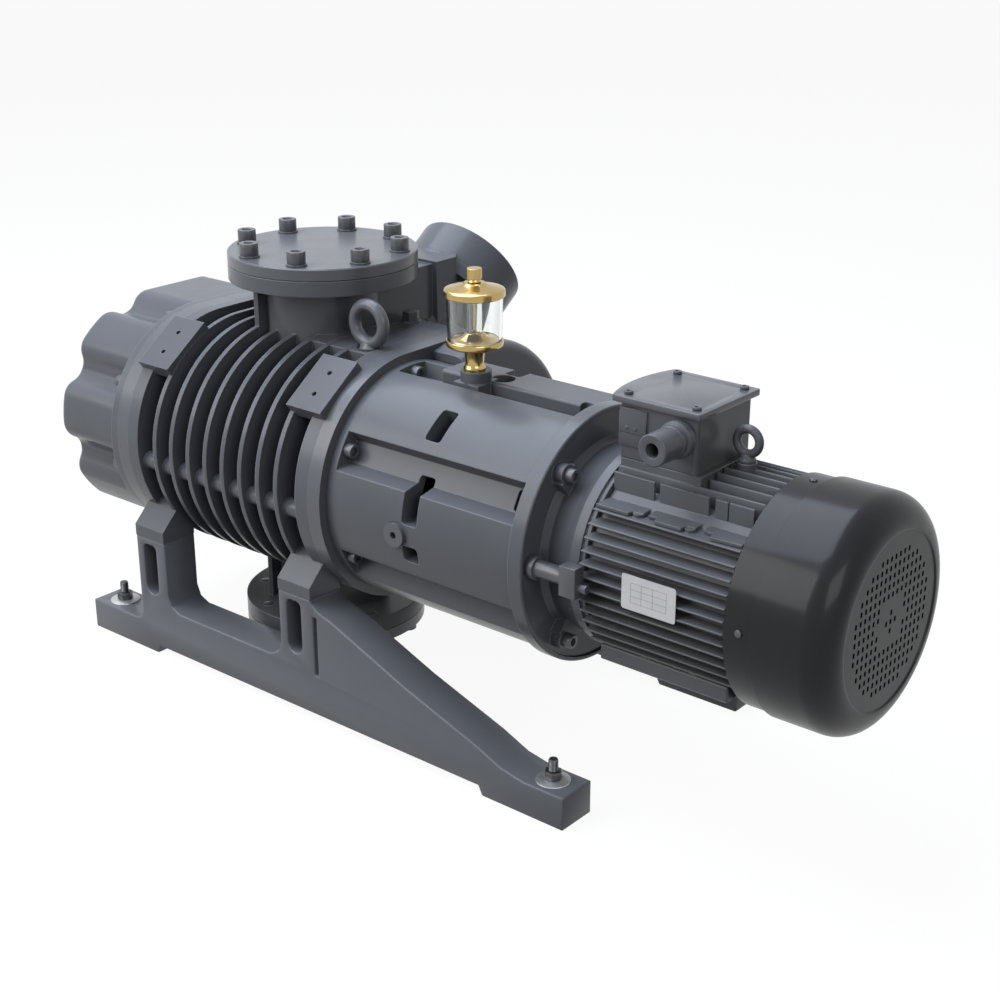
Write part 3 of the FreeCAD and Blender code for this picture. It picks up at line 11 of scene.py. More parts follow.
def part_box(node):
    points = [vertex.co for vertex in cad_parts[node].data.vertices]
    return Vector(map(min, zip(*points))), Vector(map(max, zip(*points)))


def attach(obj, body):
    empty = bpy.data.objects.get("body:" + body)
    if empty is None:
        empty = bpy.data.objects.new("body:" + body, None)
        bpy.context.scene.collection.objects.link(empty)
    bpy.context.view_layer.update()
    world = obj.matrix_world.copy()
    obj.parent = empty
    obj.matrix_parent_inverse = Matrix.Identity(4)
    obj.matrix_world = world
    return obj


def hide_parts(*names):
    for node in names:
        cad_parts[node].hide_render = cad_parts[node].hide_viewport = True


bl_info = {
    "name": "Roots Vacuum Pump",
    "version": (1, 0, 0),
    "blender": (4, 5, 0),
    "location": "3D View > Sidebar > Pump",
    "description": "Dresses the CAD model of a roots vacuum pump and sets up its studio",
    "category": "Object",
}

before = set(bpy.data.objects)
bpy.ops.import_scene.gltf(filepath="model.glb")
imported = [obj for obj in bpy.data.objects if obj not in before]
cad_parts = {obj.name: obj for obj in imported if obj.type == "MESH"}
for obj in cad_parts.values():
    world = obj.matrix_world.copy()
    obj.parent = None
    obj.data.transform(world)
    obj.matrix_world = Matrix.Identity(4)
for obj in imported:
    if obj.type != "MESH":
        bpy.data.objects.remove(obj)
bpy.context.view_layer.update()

MM = 0.001
SHAFT_HEIGHT = 0.300
inlet_low, inlet_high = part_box("inlet_cover")
# The inlet's axis at the height of the shafts, from which the drawing's sizes are given.
ORIGIN = Vector(((inlet_low.x + inlet_high.x) / 2, (inlet_low.y + inlet_high.y) / 2, SHAFT_HEIGHT))
UPRIGHT = Matrix.Identity(4)
# Stands a flat shape up so that its top faces the front.
TO_FRONT = Matrix.Rotation(math.radians(90), 4, "X")
# Turns X to Y, Y to Z and Z to X, for shapes that are drawn across the motor's axis.
TO_RIGHT = Matrix(((0, 0, 1, 0), (1, 0, 0, 0), (0, 1, 0, 0), (0, 0, 0, 1)))


def linear(code):
    """Linear RGB values of an sRGB hex colour."""
    values = [int(code[index:index + 2], 16) / 255 for index in (0, 2, 4)]
    return [v / 12.92 if v <= 0.04045 else ((v + 0.055) / 1.055) ** 2.4 for v in values]


# Sizes and colours that a user would change

class PumpSizes(bpy.types.PropertyGroup):
    """Sizes of the small forms that the CAD model leaves plain."""
    casting_edge: FloatProperty(
        name="Casting edge", description="Radius of the paint-softened edges on castings",
        default=2.2 * MM, min=0.1 * MM, unit="LENGTH", subtype="DISTANCE")
    rail_edge: FloatProperty(
        name="Rail edge", description="Radius of the cast edges of the two support rails",
        default=1.6 * MM, min=0.1 * MM, unit="LENGTH", subtype="DISTANCE")
    machined_edge: FloatProperty(
        name="Machined edge", description="Radius of the broken edges on turned and milled parts",
        default=0.6 * MM, min=0.05 * MM, unit="LENGTH", subtype="DISTANCE")
    screw_edge: FloatProperty(
        name="Screw edge", description="Bevel round the heads of the socket screws",
        default=0.5 * MM, min=0.05 * MM, unit="LENGTH", subtype="DISTANCE")
    cowl_lip: FloatProperty(
        name="Cowl lip", description="Depth of the grille behind the lip of the fan cowl",
        default=1.4 * MM, min=0.0, max=3.0 * MM, unit="LENGTH", subtype="DISTANCE")
    knurls: IntProperty(
        name="Knurls", description="Number of ridges round the oiler's knob", default=24, min=8)
    thread_pitch: FloatProperty(
        name="Thread pitch", description="Pitch of the thread on the anchor studs",
        default=1.75 * MM, min=0.5 * MM, unit="LENGTH", subtype="DISTANCE")
    side_fin_pitch: FloatProperty(
        name="Side fin pitch", description="Distance between the fins at the sides of the motor",
        default=14.15 * MM, min=6.0 * MM, unit="LENGTH", subtype="DISTANCE")
    top_fin_pitch: FloatProperty(
        name="Top fin pitch", description="Distance between the fins above and below the motor",
        default=13.8 * MM, min=6.0 * MM, unit="LENGTH", subtype="DISTANCE")


def colour(name, description, code):
    """Colour property whose default is an sRGB hex colour."""
    return FloatVectorProperty(name=name, description=description, subtype="COLOR",
                               size=3, min=0.0, max=1.0, default=linear(code))


class PumpColours(bpy.types.PropertyGroup):
    """Colours of the pump's finishes."""
    casting: colour("Casting enamel", "Grey enamel on the iron castings", "585B60")
    motor: colour("Motor enamel", "Enamel on the aluminium motor frame", "595C60")
    cowl: colour("Cowl coat", "Black powder coat on the fan cowl", "1C1E21")
    brass: colour("Brass", "Polished brass of the drip oiler", "B79E68")
    zinc: colour("Zinc", "Zinc plate on the washers", "B9BBBC")
    plate: colour("Rating plate", "Etched aluminium of the blank plate", "B4B6B8")
    floor: colour("Floor", "Pale studio floor", "F2F2F2")


# Materials

def add_node(tree, kind, settings=None, links=None):
    """Adds a node, sets its sockets or properties, and links sockets to other outputs."""
    node = tree.nodes.new(kind)
    for key, value in (settings or {}).items():
        if isinstance(key, int) or key in node.inputs:
            node.inputs[key].default_value = value
        else:
            setattr(node, key, value)
    for key, source in (links or {}).items():
        tree.links.new(source, node.inputs[key])
    return node


def new_material(name):
    """A material with its shader, its output and the object's own coordinates."""
    material = bpy.data.materials.new(name)
    material.use_nodes = True
    tree = material.node_tree
    tree.nodes.clear()
    shader = add_node(tree, "ShaderNodeBsdfPrincipled")
    add_node(tree, "ShaderNodeOutputMaterial", links={"Surface": shader.outputs["BSDF"]})
    place = add_node(tree, "ShaderNodeTexCoord").outputs["Object"]
    return material, tree, shader, place


def grain(tree, place, size, detail=3.0, stretch=(1.0, 1.0, 1.0)):
    """Noise whose blotches are about size across, given in metres."""
    scaled = add_node(tree, "ShaderNodeMapping", {"Scale": stretch}, {"Vector": place})
    noise = add_node(tree, "ShaderNodeTexNoise", {"Scale": 1.0 / size, "Detail": detail},
                     {"Vector": scaled.outputs["Vector"]})
    return noise.outputs[0]


def shades(tree, factor, dark, light):
    """Colour between two shades of one tone."""
    mix = add_node(tree, "ShaderNodeMix", {"data_type": "RGBA"})
    mix.inputs[6].default_value = (*dark, 1.0)
    mix.inputs[7].default_value = (*light, 1.0)
    tree.links.new(factor, mix.inputs[0])
    return mix.outputs[2]


def spread(tree, factor, low, high, start=0.3, end=0.7):
    """Maps the middle of a noise to a range of values."""
    node = add_node(tree, "ShaderNodeMapRange",
                    {"From Min": start, "From Max": end, "To Min": low, "To Max": high},
                    {"Value": factor})
    return node.outputs["Result"]


def toned(tone, factor):
    """Tone made darker or lighter by a factor."""
    return [min(1.0, value * factor) for value in tone]


def enamel(name, tone, grain_size, grain_depth, edge, roughness, edge_highlight_strength, gloss, clear=0.15):
    """Semi-gloss enamel: the metal's grain shows through it, and its edges are painted lighter as a
    highlight.

    The argument after roughness is how much lighter the painted edge highlight makes the edges, gloss the
    specular level and clear the coat's weight.
    """
    material, tree, shader, place = new_material(name)
    shader.inputs["Specular IOR Level"].default_value = gloss
    shader.inputs["Coat Weight"].default_value = clear
    shader.inputs["Coat Roughness"].default_value = 0.14
    rounded = add_node(tree, "ShaderNodeBevel", {"samples": 6, "Radius": edge})
    surface = add_node(tree, "ShaderNodeNewGeometry")
    flatness = add_node(tree, "ShaderNodeVectorMath", {"operation": "DOT_PRODUCT"},
                        {0: rounded.outputs["Normal"], 1: surface.outputs["Normal"]})
    # Mask of the rounded edges, where a highlight is painted into the enamel's colour.
    ridge = spread(tree, flatness.outputs["Value"], 0.0, 0.6, 0.985, 0.85)
    blotches = shades(tree, grain(tree, place, 70 * MM), toned(tone, 0.92), toned(tone, 1.07))
    # Painted highlight: the masked edges take a lighter copy of the tone.
    painted_edge_highlight = add_node(tree, "ShaderNodeMix", {"data_type": "RGBA"})
    painted_edge_highlight.inputs[7].default_value = (*toned(tone, edge_highlight_strength), 1.0)
    tree.links.new(ridge, painted_edge_highlight.inputs[0])
    tree.links.new(blotches, painted_edge_highlight.inputs[6])
    tree.links.new(painted_edge_highlight.outputs[2], shader.inputs["Base Color"])
    dull = spread(tree, grain(tree, place, 25 * MM), roughness - 0.02, roughness + 0.03)
    tree.links.new(dull, shader.inputs["Roughness"])
    bump = add_node(tree, "ShaderNodeBump", {"Strength": 1.0, "Distance": grain_depth},
                    {"Height": grain(tree, place, grain_size, 1.0), "Normal": rounded.outputs["Normal"]})
    tree.links.new(bump.outputs["Normal"], shader.inputs["Normal"])
    return material


def bare_metal(name, tone, roughness, mark_size, mark_depth, stretch=(1.0, 1.0, 1.0)):
    """Bare or plated metal with fine marks from the tool or the bath."""
    material, tree, shader, place = new_material(name)
    marks = grain(tree, place, mark_size, 2.0, stretch)
    stain = grain(tree, place, 14 * MM)
    tree.links.new(shades(tree, stain, toned(tone, 0.88), toned(tone, 1.06)), shader.inputs["Base Color"])
    tree.links.new(spread(tree, marks, roughness * 0.8, roughness * 1.3), shader.inputs["Roughness"])
    bump = add_node(tree, "ShaderNodeBump", {"Strength": 1.0, "Distance": mark_depth}, {"Height": marks})
    tree.links.new(bump.outputs["Normal"], shader.inputs["Normal"])
    shader.inputs["Metallic"].default_value = 1.0
    return material


def moulded(name, code, roughness, texture):
    """Moulded plastic or rubber with the mould's fine texture."""
    material, tree, shader, place = new_material(name)
    tone = linear(code)
    tree.links.new(shades(tree, grain(tree, place, 20 * MM), toned(tone, 0.85), toned(tone, 1.15)),
                   shader.inputs["Base Color"])
    fine = grain(tree, place, texture)
    tree.links.new(spread(tree, fine, roughness - 0.05, roughness + 0.08), shader.inputs["Roughness"])
    bump = add_node(tree, "ShaderNodeBump", {"Strength": 1.0, "Distance": 0.03 * MM}, {"Height": fine})
    tree.links.new(bump.outputs["Normal"], shader.inputs["Normal"])
    return material


def drawn_glass():
    """Clear borosilicate glass with the faint waves of a drawn tube."""
    material, tree, shader, place = new_material("Drawn borosilicate glass")
    waves = grain(tree, place, 12 * MM, 1.0, (1.0, 1.0, 0.1))
    tree.links.new(shades(tree, waves, linear("F4F8F8"), linear("FFFFFF")), shader.inputs["Base Color"])
    tree.links.new(spread(tree, waves, 0.0, 0.03), shader.inputs["Roughness"])
    shader.inputs["Transmission Weight"].default_value = 1.0
    shader.inputs["IOR"].default_value = 1.47
    bump = add_node(tree, "ShaderNodeBump", {"Strength": 1.0, "Distance": 0.02 * MM}, {"Height": waves})
    tree.links.new(bump.outputs["Normal"], shader.inputs["Normal"])
    return material


materials = {}


def make_materials(colours, sizes):
    """All of the finishes, by the part of the pump that they are on."""
    # Alkyd enamel on sand-cast iron: uneven under the gloss, with a painted highlight on its soft edges.
    materials["casting"] = enamel("Enamel on sand cast iron", colours.casting, 2.4 * MM, 0.025 * MM,
                                  sizes.casting_edge, 0.30, 2.6, 0.18, 0.08)
    # A thicker coat of it on the two rails, which rounds their edges further; the rails are painted lighter
    # than the castings, as painted light for the brighter light that falls on them.
    materials["rail"] = enamel("Enamel on cast iron rails", toned(colours.casting, 1.22), 3.0 * MM,
                               0.02 * MM, 2.4 * sizes.rail_edge, 0.34, 2.6, 0.2, 0.08)
    # The same enamel over milled faces, which are flatter and have tighter edges.
    materials["machined"] = enamel("Enamel on milled iron", colours.casting, 1.6 * MM, 0.012 * MM,
                                   sizes.machined_edge, 0.32, 2.0, 0.32)
    # Enamel on a pressure die-cast frame: smooth, with the sheen of the die.
    materials["motor"] = enamel("Enamel on die cast aluminium", colours.motor, 1.6 * MM, 0.015 * MM,
                                0.8 * MM, 0.33, 2.0, 0.2, 0.06)
    # Black powder coat on deep drawn sheet steel: even satin with a fine orange peel.
    materials["cowl"] = enamel("Powder coat on drawn steel", colours.cowl, 1.2 * MM, 0.012 * MM,
                               0.6 * MM, 0.34, 1.6, 0.12, 0.2)
    # Screws painted over with the castings, a shade darker than them.
    materials["screw"] = enamel("Enamel on socket screws", toned(colours.casting, 0.72), 1.5 * MM,
                                0.03 * MM, 0.5 * MM, 0.36, 1.9, 0.5)
    # Turned and polished brass: a warm mirror with the lathe's rings, drawn coarse enough to show.
    materials["brass"] = bare_metal("Polished turned brass", colours.brass, 0.17, 1.2 * MM, 0.006 * MM,
                                    (0.2, 0.2, 2.0))
    # Bright zinc over pressed steel: pale and soft in its shine, dulled by handling.
    materials["zinc"] = bare_metal("Zinc plated pressed steel", colours.zinc, 0.42, 1.5 * MM, 0.02 * MM)
    # Black oxide on rolled steel: a dark satin whose fine marks are drawn coarse enough to show.
    materials["steel"] = bare_metal("Oxidised rolled steel", linear("5A5B5D"), 0.38, 0.9 * MM, 0.02 * MM)
    # Ground cast iron of rotors, gears and hubs: grey, with long marks drawn coarse enough to show.
    materials["iron"] = bare_metal("Ground cast iron", linear("8B8D8F"), 0.30, 0.8 * MM, 0.01 * MM,
                                   (3.0, 0.4, 0.4))
    # Varnished copper windings and laminated sheet of the motor's core: brown, in thin bands.
    materials["core"] = bare_metal("Varnished core sheet", linear("7A4B34"), 0.45, 0.7 * MM, 0.05 * MM,
                                   (6.0, 0.3, 0.3))
    # Moulded nitrile rubber of gaskets and the coupling's spider: nearly black and matt.
    materials["rubber"] = moulded("Moulded nitrile rubber", "26282A", 0.62, 0.8 * MM)
    # Moulded polyamide of the fan and the terminal board: dark grey with a dull sheen.
    materials["plastic"] = moulded("Moulded polyamide", "3B3E42", 0.42, 0.6 * MM)
    materials["glass"] = drawn_glass()
    # Fields etched into the plate, a shade darker than its face.
    materials["etch"] = bare_metal("Etched field lines", toned(colours.plate, 0.45), 0.5, 0.6 * MM, 0.01 * MM)
    # Etched aluminium sheet, brushed along its length: pale streaks, drawn coarse enough to show.
    materials["plate"] = bare_metal("Etched aluminium sheet", colours.plate, 0.36, 1.0 * MM, 0.01 * MM,
                                    (0.1, 1.0, 2.0))


# The finish that each of the record's material slots takes.
SLOT_FINISH = {
    "cast_paint": "casting", "frame_paint": "motor", "cowl_paint": "cowl", "steel": "screw",
    "washer_steel": "zinc", "iron": "iron", "motor_core": "core", "rubber": "rubber",
    "plastic": "plastic", "brass": "brass", "glass": "glass", "plate": "plate",
}
MACHINED = ("inlet_cover", "outlet_counter_flange", "drive_end_plate", "gear_end_plate", "inspection_plug")


# Shaping

def place(x, y, z):
    """Frame position of a point given in millimetres from the inlet's axis at shaft height."""
    return ORIGIN + Vector((x, y, z)) * MM


def middle(node):
    """Centre of a CAD node's box."""
    low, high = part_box(node)
    return (low + high) / 2


def turned(points, steps=72, closed=False):
    """Solid turned about Z from (radius, height) points in millimetres."""
    bm = bmesh.new()
    line = [bm.verts.new((radius, 0.0, height)) for radius, height in points]
    edges = [bm.edges.new(pair) for pair in zip(line, line[1:])]
    if closed:
        edges.append(bm.edges.new((line[-1], line[0])))
    bmesh.ops.spin(bm, geom=line + edges, cent=(0, 0, 0), axis=(0, 0, 1), dvec=(0, 0, 0),
                   angle=math.tau, steps=steps, use_merge=True, use_duplicate=False)
    return cleaned(bm)


def cleaned(bm):
    """Merges doubles and turns all faces outwards."""
    bmesh.ops.remove_doubles(bm, verts=bm.verts, dist=0.001)
    bmesh.ops.recalc_face_normals(bm, faces=bm.faces)
    return bm


def prism(points, height):
    """Upright block in millimetres over a closed outline."""
    bm = bmesh.new()
    face = bm.faces.new([bm.verts.new((x, y, 0.0)) for x, y in points])
    bmesh.ops.recalc_face_normals(bm, faces=[face])
    made = bmesh.ops.extrude_face_region(bm, geom=[face])
    top = [item for item in made["geom"] if isinstance(item, bmesh.types.BMVert)]
    bmesh.ops.translate(bm, verts=top, vec=(0, 0, height))
    return cleaned(bm)


def oblong(x0, x1, y0, y1):
    """Outline of a rectangle."""
    return [(x0, y0), (x1, y0), (x1, y1), (x0, y1)]


def soften(bm, width, segments=2, angle=30.0, clamp=True, shortest=0.0):
    """Bevels the edges that are sharper than an angle in degrees and longer than the shortest."""
    sharp = [edge for edge in bm.edges if edge.is_manifold and edge.calc_length() > shortest
             and edge.calc_face_angle(0.0) > math.radians(angle)]
    if sharp:
        bmesh.ops.bevel(bm, geom=sharp, offset=width, offset_type="OFFSET", segments=segments,
                        profile=0.5, affect="EDGES", clamp_overlap=clamp, material=-1)
    return bm


def joined(shapes):
    """One mesh from several, each given with its turn and its place in millimetres."""
    whole = bmesh.new()
    for shape, turn, spot in shapes:
        shape.transform(Matrix.Translation(Vector(spot)) @ turn)
        scrap = bpy.data.meshes.new("scrap")
        shape.to_mesh(scrap)
        shape.free()
        whole.from_mesh(scrap)
        bpy.data.meshes.remove(scrap)
    return whole


def settled(bm, spot, turn=UPRIGHT):
    """Scales a shape from millimetres and puts it in the frame."""
    bm.transform(Matrix.Translation(spot) @ turn @ Matrix.Scale(MM, 4))
    return bm


def piece(name, bm, finish, body="pump", replaces=(), smooth=32.0):
    """Makes an object of a finished shape, which rides on a body and may stand for CAD nodes."""
    mesh = bpy.data.meshes.new(name)
    bm.to_mesh(mesh)
    bm.free()
    mesh.shade_smooth()
    mesh.set_sharp_from_angle(angle=math.radians(smooth))
    mesh.materials.append(materials[finish])
    obj = bpy.data.objects.new(name, mesh)
    bpy.context.scene.collection.objects.link(obj)
    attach(obj, body)
    if replaces:
        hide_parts(*replaces)
    return obj


def merged(node):
    """Copy of a CAD node's mesh with its loose triangles joined to flat faces."""
    bm = bmesh.new()
    bm.from_mesh(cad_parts[node].data)
    bmesh.ops.remove_doubles(bm, verts=bm.verts, dist=0.01 * MM)
    bmesh.ops.dissolve_limit(bm, angle_limit=math.radians(0.5), verts=bm.verts, edges=bm.edges)
    return bm


def fused(bm, voxel, rounds):
    """Grows overlapping shells into one skin with soft joints, as a forging has."""
    mesh = bpy.data.meshes.new("forging")
    bm.to_mesh(mesh)
    bm.free()
    rough = bpy.data.objects.new("forging", mesh)
    bpy.context.scene.collection.objects.link(rough)
    remesh = rough.modifiers.new("Skin", "REMESH")
    remesh.mode = "VOXEL"
    remesh.voxel_size = voxel
    skin = bpy.data.meshes.new_from_object(rough.evaluated_get(bpy.context.evaluated_depsgraph_get()))
    bpy.data.objects.remove(rough)
    result = bmesh.new()
    result.from_mesh(skin)
    bpy.data.meshes.remove(skin)
    for _ in range(rounds):
        bmesh.ops.smooth_vert(result, verts=result.verts, factor=0.5,
                              use_axis_x=True, use_axis_y=True, use_axis_z=True)
    return result


# Pieces

class PUMP_OT_finishes(bpy.types.Operator):
    """Give each CAD node the finish of its material slot"""
    bl_idname = "pump.finishes"
    bl_label = "Finishes"

    def execute(self, context):
        make_materials(context.scene.pump_colours, context.scene.pump_sizes)
        for name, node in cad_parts.items():
            slot = node.data.materials[0].name.split(".")[0]
            finish = "machined" if name in MACHINED else SLOT_FINISH[slot]
            node.data.materials[0] = materials[finish]
        return {"FINISHED"}


class PUMP_OT_rails(bpy.types.Operator):
    """Round the cast edges of the two support rails"""
    bl_idname = "pump.rails"
    bl_label = "Support rails"

    def execute(self, context):
        width = context.scene.pump_sizes.rail_edge
        for node in ("front_rail", "rear_rail"):
            piece(node + "_cast", soften(merged(node), width, 2, 25.0, clamp=False), "rail",
                  replaces=[node])
        return {"FINISHED"}


SCREW_GROUPS = ("inlet_screws", "gear_cover_screws", "drive_end_screws", "motor_flange_screws",
                "valve_cover_screws", "outlet_screws", "rail_screws", "support_bolt")


class PUMP_OT_screws(bpy.types.Operator):
    """Bevel the heads, sockets and washers of the painted screws"""
    bl_idname = "pump.screws"
    bl_label = "Screws"

    def execute(self, context):
        width = context.scene.pump_sizes.screw_edge
        for node in SCREW_GROUPS:
            piece(node + "_bevelled", soften(merged(node), width, clamp=False), "screw",
                  replaces=[node])
        return {"FINISHED"}


class PUMP_OT_fan_cowl(bpy.types.Operator):
    """Draw the fan cowl with a lip round its grille, which lies a little behind the lip"""
    bl_idname = "pump.fan_cowl"
    bl_label = "Fan cowl"

    def execute(self, context):
        low, high = ((corner - ORIGIN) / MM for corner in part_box("fan_cowl"))
        grille_low, grille_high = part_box("cowl_grille")
        sheet = (grille_high.x - grille_low.x) / MM
        opening = (grille_high.z - grille_low.z) / 2 / MM
        drum = (high.z - low.z) / 2
        length = high.x - low.x
        drop = context.scene.pump_sizes.cowl_lip / MM
        # A band at the open end, up to the step, is smaller in radius than the drum.
        step, band, corner, arc_steps = 32.5, drum - 3.2, 34.0, 16
        outside = [(band, 0.0), (band, step - 0.5), (drum, step + 0.5)]
        inside = [(band - sheet, 0.0), (band - sheet, step - 0.5), (drum - sheet, step + 0.5)]
        for index in range(arc_steps + 1):
            angle = math.radians(90.0 * index / arc_steps)
            for line, radius in ((outside, corner), (inside, corner - sheet)):
                line.append((drum - corner + radius * math.cos(angle),
                             length - corner + radius * math.sin(angle)))
        lip = drum - corner
        outside += [(lip - 0.8, length - 0.1), (lip - 1.5, length - 0.4 * drop), (lip - 1.9, length - drop),
                    (opening + 0.02, length - drop)]
        inside += [(lip - 1.0, length - sheet - drop), (opening + 0.02, length - sheet - drop)]
        drawn = turned(outside + inside[::-1], 144, True)
        spot = Vector((low.x, (low.y + high.y) / 2, 0.0))
        piece("fan_cowl_drawn", settled(joined([(drawn, TO_RIGHT, spot)]), ORIGIN), "cowl",
              replaces=["fan_cowl"])
        punched = merged("cowl_grille")
        bmesh.ops.translate(punched, verts=punched.verts, vec=(-drop * MM, 0.0, 0.0))
        piece("cowl_grille_punched", punched, "cowl", replaces=["cowl_grille"])
        return {"FINISHED"}


class PUMP_OT_cowl_screws(bpy.types.Operator):
    """Turn the small pan head screws of the fan cowl"""
    bl_idname = "pump.cowl_screws"
    bl_label = "Cowl screws"

    def execute(self, context):
        low, high = ((corner - ORIGIN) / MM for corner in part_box("cowl_screws"))
        reach = (high.z - low.z) / 2
        centre = Vector(((low.x + high.x) / 2, (low.y + high.y) / 2, 0.0))
        # Heads sit 3 mm below the tops of the CAD screws, on the cowl's band.
        pan = [(0.0, reach - 17.0), (2.8, reach - 17.0), (2.8, reach - 3.0), (4.4, reach - 3.0),
               (4.4, reach - 2.2), (3.9, reach - 1.4), (2.4, reach - 0.9), (0.0, reach - 0.8)]
        # All four are turned by the angle that the one in sight stands off the front.
        off_front = 1.4
        parts = []
        for quarter in range(4):
            turn = Matrix.Rotation(math.radians(90.0 * quarter - off_front), 4, "X")
            parts.append((turned(pan, 24), turn, centre))
        piece("cowl_screws_turned", settled(joined(parts), ORIGIN), "steel",
              replaces=["cowl_screws"])
        return {"FINISHED"}


def forged_eye(node, wire):
    """Ring of the CAD eye bolt, its drop from the ring's middle to its foot, and its radii."""
    low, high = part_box(node)
    outer = (high.x - low.x) / 2 / MM
    ring = outer - wire
    bm = bmesh.new()
    bmesh.ops.create_circle(bm, segments=28, radius=wire, matrix=Matrix.Translation((ring, 0, 0)))
    bmesh.ops.spin(bm, geom=bm.verts[:] + bm.edges[:], cent=(0, 0, 0), axis=(0, 1, 0), dvec=(0, 0, 0),
                   angle=math.tau, steps=72, use_merge=True, use_duplicate=False)
    cleaned(bm)
    drop = (high.z - low.z) / MM - outer
    return bm, drop, ring, outer


class PUMP_OT_eyes(bpy.types.Operator):
    """Make the lifting eyes of the casing and the motor as forgings"""
    bl_idname = "pump.eyes"
    bl_label = "Lifting eyes"

    def execute(self, context):
        for node, wire, collar, seat, finish, slot in (
                ("lifting_eye", 8.0, 13.0, 18.0, "machined", "cast_paint"),
                ("motor_eye_bolt", 5.0, 10.0, 16.0, "motor", "frame_paint")):
            ring, drop, radius, outer = forged_eye(node, wire)
            neck = turned([
                (0.0, seat - drop), (collar, seat - drop), (collar, seat - drop + 3.0),
                (collar - 2.0, seat - drop + 5.0), (wire + 1.5, -radius - 1.0), (wire - 0.5, -radius + 1.0),
                (0.0, -radius + 2.0)])
            shank = turned([(0.0, -drop), (0.36 * collar, -drop), (0.36 * collar, seat - drop + 1.0),
                            (0.0, seat - drop + 1.0)])
            whole = joined([(shape, UPRIGHT, (0, 0, 0)) for shape in (ring, neck, shank)])
            low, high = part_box(node)
            spot = Vector(((low.x + high.x) / 2, (low.y + high.y) / 2, high.z - outer * MM))
            bm = fused(settled(whole, spot), 0.1 * wire * MM, 3)
            piece(node + "_forged", bm, finish, replaces=[node], smooth=60.0)
        return {"FINISHED"}


class PUMP_OT_oiler(bpy.types.Operator):
    """Turn the brass and glass pieces of the drip oiler"""
    bl_idname = "pump.oiler"
    bl_label = "Drip oiler"

    def execute(self, context):
        spot = middle("oiler_cap")
        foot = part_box("oiler_base")[0].z
        bottom, top = (corner.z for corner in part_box("oiler_glass"))
        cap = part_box("oiler_cap")
        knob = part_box("oiler_knob")
        spot.z = bottom
        seat = (foot - bottom) / MM + 12.0
        glass = (top - bottom) / MM
        lid = (cap[1].z - bottom) / MM - 8.0
        outer = (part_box("oiler_glass")[1].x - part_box("oiler_glass")[0].x) / 2 / MM - 1.0
        rim = (cap[1].x - cap[0].x) / 2 / MM
        base = turned([
            (0.0, seat - 12.0), (5.9, seat - 12.0), (5.9, seat), (13.0, seat), (13.5, seat + 0.6),
            (13.5, seat + 2.6), (12.2, seat + 4.2), (11.3, seat + 7.5), (11.4, seat + 11.0),
            (12.4, -17.0), (13.8, -15.0), (14.0, -13.0), (19.0, -12.0), (outer - 6.0, -10.6),
            (outer - 1.5, -8.8), (outer + 0.9, -7.0), (outer + 1.5, -5.4), (outer + 1.5, -1.0),
            (outer + 1.0, -0.2), (outer + 0.2, 0.0), (outer - 4.4, 0.0), (outer - 4.9, 0.8),
            (outer - 10.0, 1.8), (16.0, 4.2), (12.0, 7.4), (9.6, 8.2), (9.0, 6.5), (5.2, 5.0),
            (0.0, 4.2)], 96)
        piece("oiler_cup", settled(base, spot), "brass", replaces=["oiler_base"])
        tube = turned([(9.0, 6.8), (9.0, glass - 0.4), (7.0, glass - 0.4), (7.0, 5.8)], 64, True)
        piece("oiler_sight_tube", settled(tube, spot), "glass")
        wall = turned([
            (outer - 3.8, 0.4), (outer - 2.8, 0.1), (outer - 1.0, 0.1), (outer - 0.3, 0.6),
            (outer + 0.7, glass - 0.6), (outer + 0.2, glass - 0.1), (outer - 1.8, glass - 0.1),
            (outer - 2.8, glass - 0.4)], 96, True)
        piece("oiler_bowl", settled(wall, spot), "glass", replaces=["oiler_glass"])
        cover = turned([
            (6.2, glass), (rim - 2.6, glass), (rim - 0.6, glass + 0.4), (rim, glass + 1.0),
            (rim, lid - 1.2), (rim - 0.6, lid - 0.3), (rim - 1.8, lid + 0.3), (rim - 3.4, lid + 0.9),
            (26.0, lid + 2.8), (18.0, lid + 5.0), (14.4, lid + 6.2), (13.2, lid + 6.8),
            (12.8, lid + 8.0), (6.2, lid + 8.0)], 96, True)
        piece("oiler_lid", settled(cover, spot), "brass", replaces=["oiler_cap"])
        count = context.scene.pump_sizes.knurls * 2
        start = (knob[0].z - bottom) / MM
        end = (knob[1].z - bottom) / MM
        crest = (knob[1].x - knob[0].x) / 2 / MM
        grip_foot = lid + 12.4
        ridge = [(radius * math.cos(math.tau * index / count), radius * math.sin(math.tau * index / count))
                 for index in range(count) for radius in ((crest if index % 2 else crest - 0.6),)]
        grip = soften(prism(ridge, end - grip_foot), 0.4, 1, 50.0)
        stem = turned([
            (0.0, start), (1.6, start + 3.0), (2.0, start + 6.0), (2.0, glass - 5.0), (5.6, glass - 4.0),
            (5.6, lid + 8.4), (crest - 1.6, lid + 8.4), (crest - 1.2, lid + 9.0), (crest - 2.2, lid + 10.6),
            (crest - 2.2, lid + 12.8), (0.0, lid + 12.8)], 48)
        whole = joined([(grip, UPRIGHT, (0, 0, grip_foot)), (stem, UPRIGHT, (0, 0, 0))])
        piece("oiler_needle_knob", settled(whole, spot), "brass", "oiler_needle", ["oiler_knob"])
        return {"FINISHED"}


def along_x(points, x0, x1, edge=0.5):
    """Bar from x0 to x1 over an outline of (y, z) points, with its edges broken."""
    return (soften(prism(points, x1 - x0), edge, 1), TO_RIGHT, (x0, 0.0, 0.0))


def flipped(points, axis_y):
    """Outline of (y, z) points mirrored to the other side of the motor's axis."""
    return [(2.0 * axis_y - y, z) for y, z in reversed(points)]


# Radii of the motor frame's round core and of the circle through its fins, in millimetres.
FRAME_CORE = 112.0
FIN_CIRCLE = 128.0


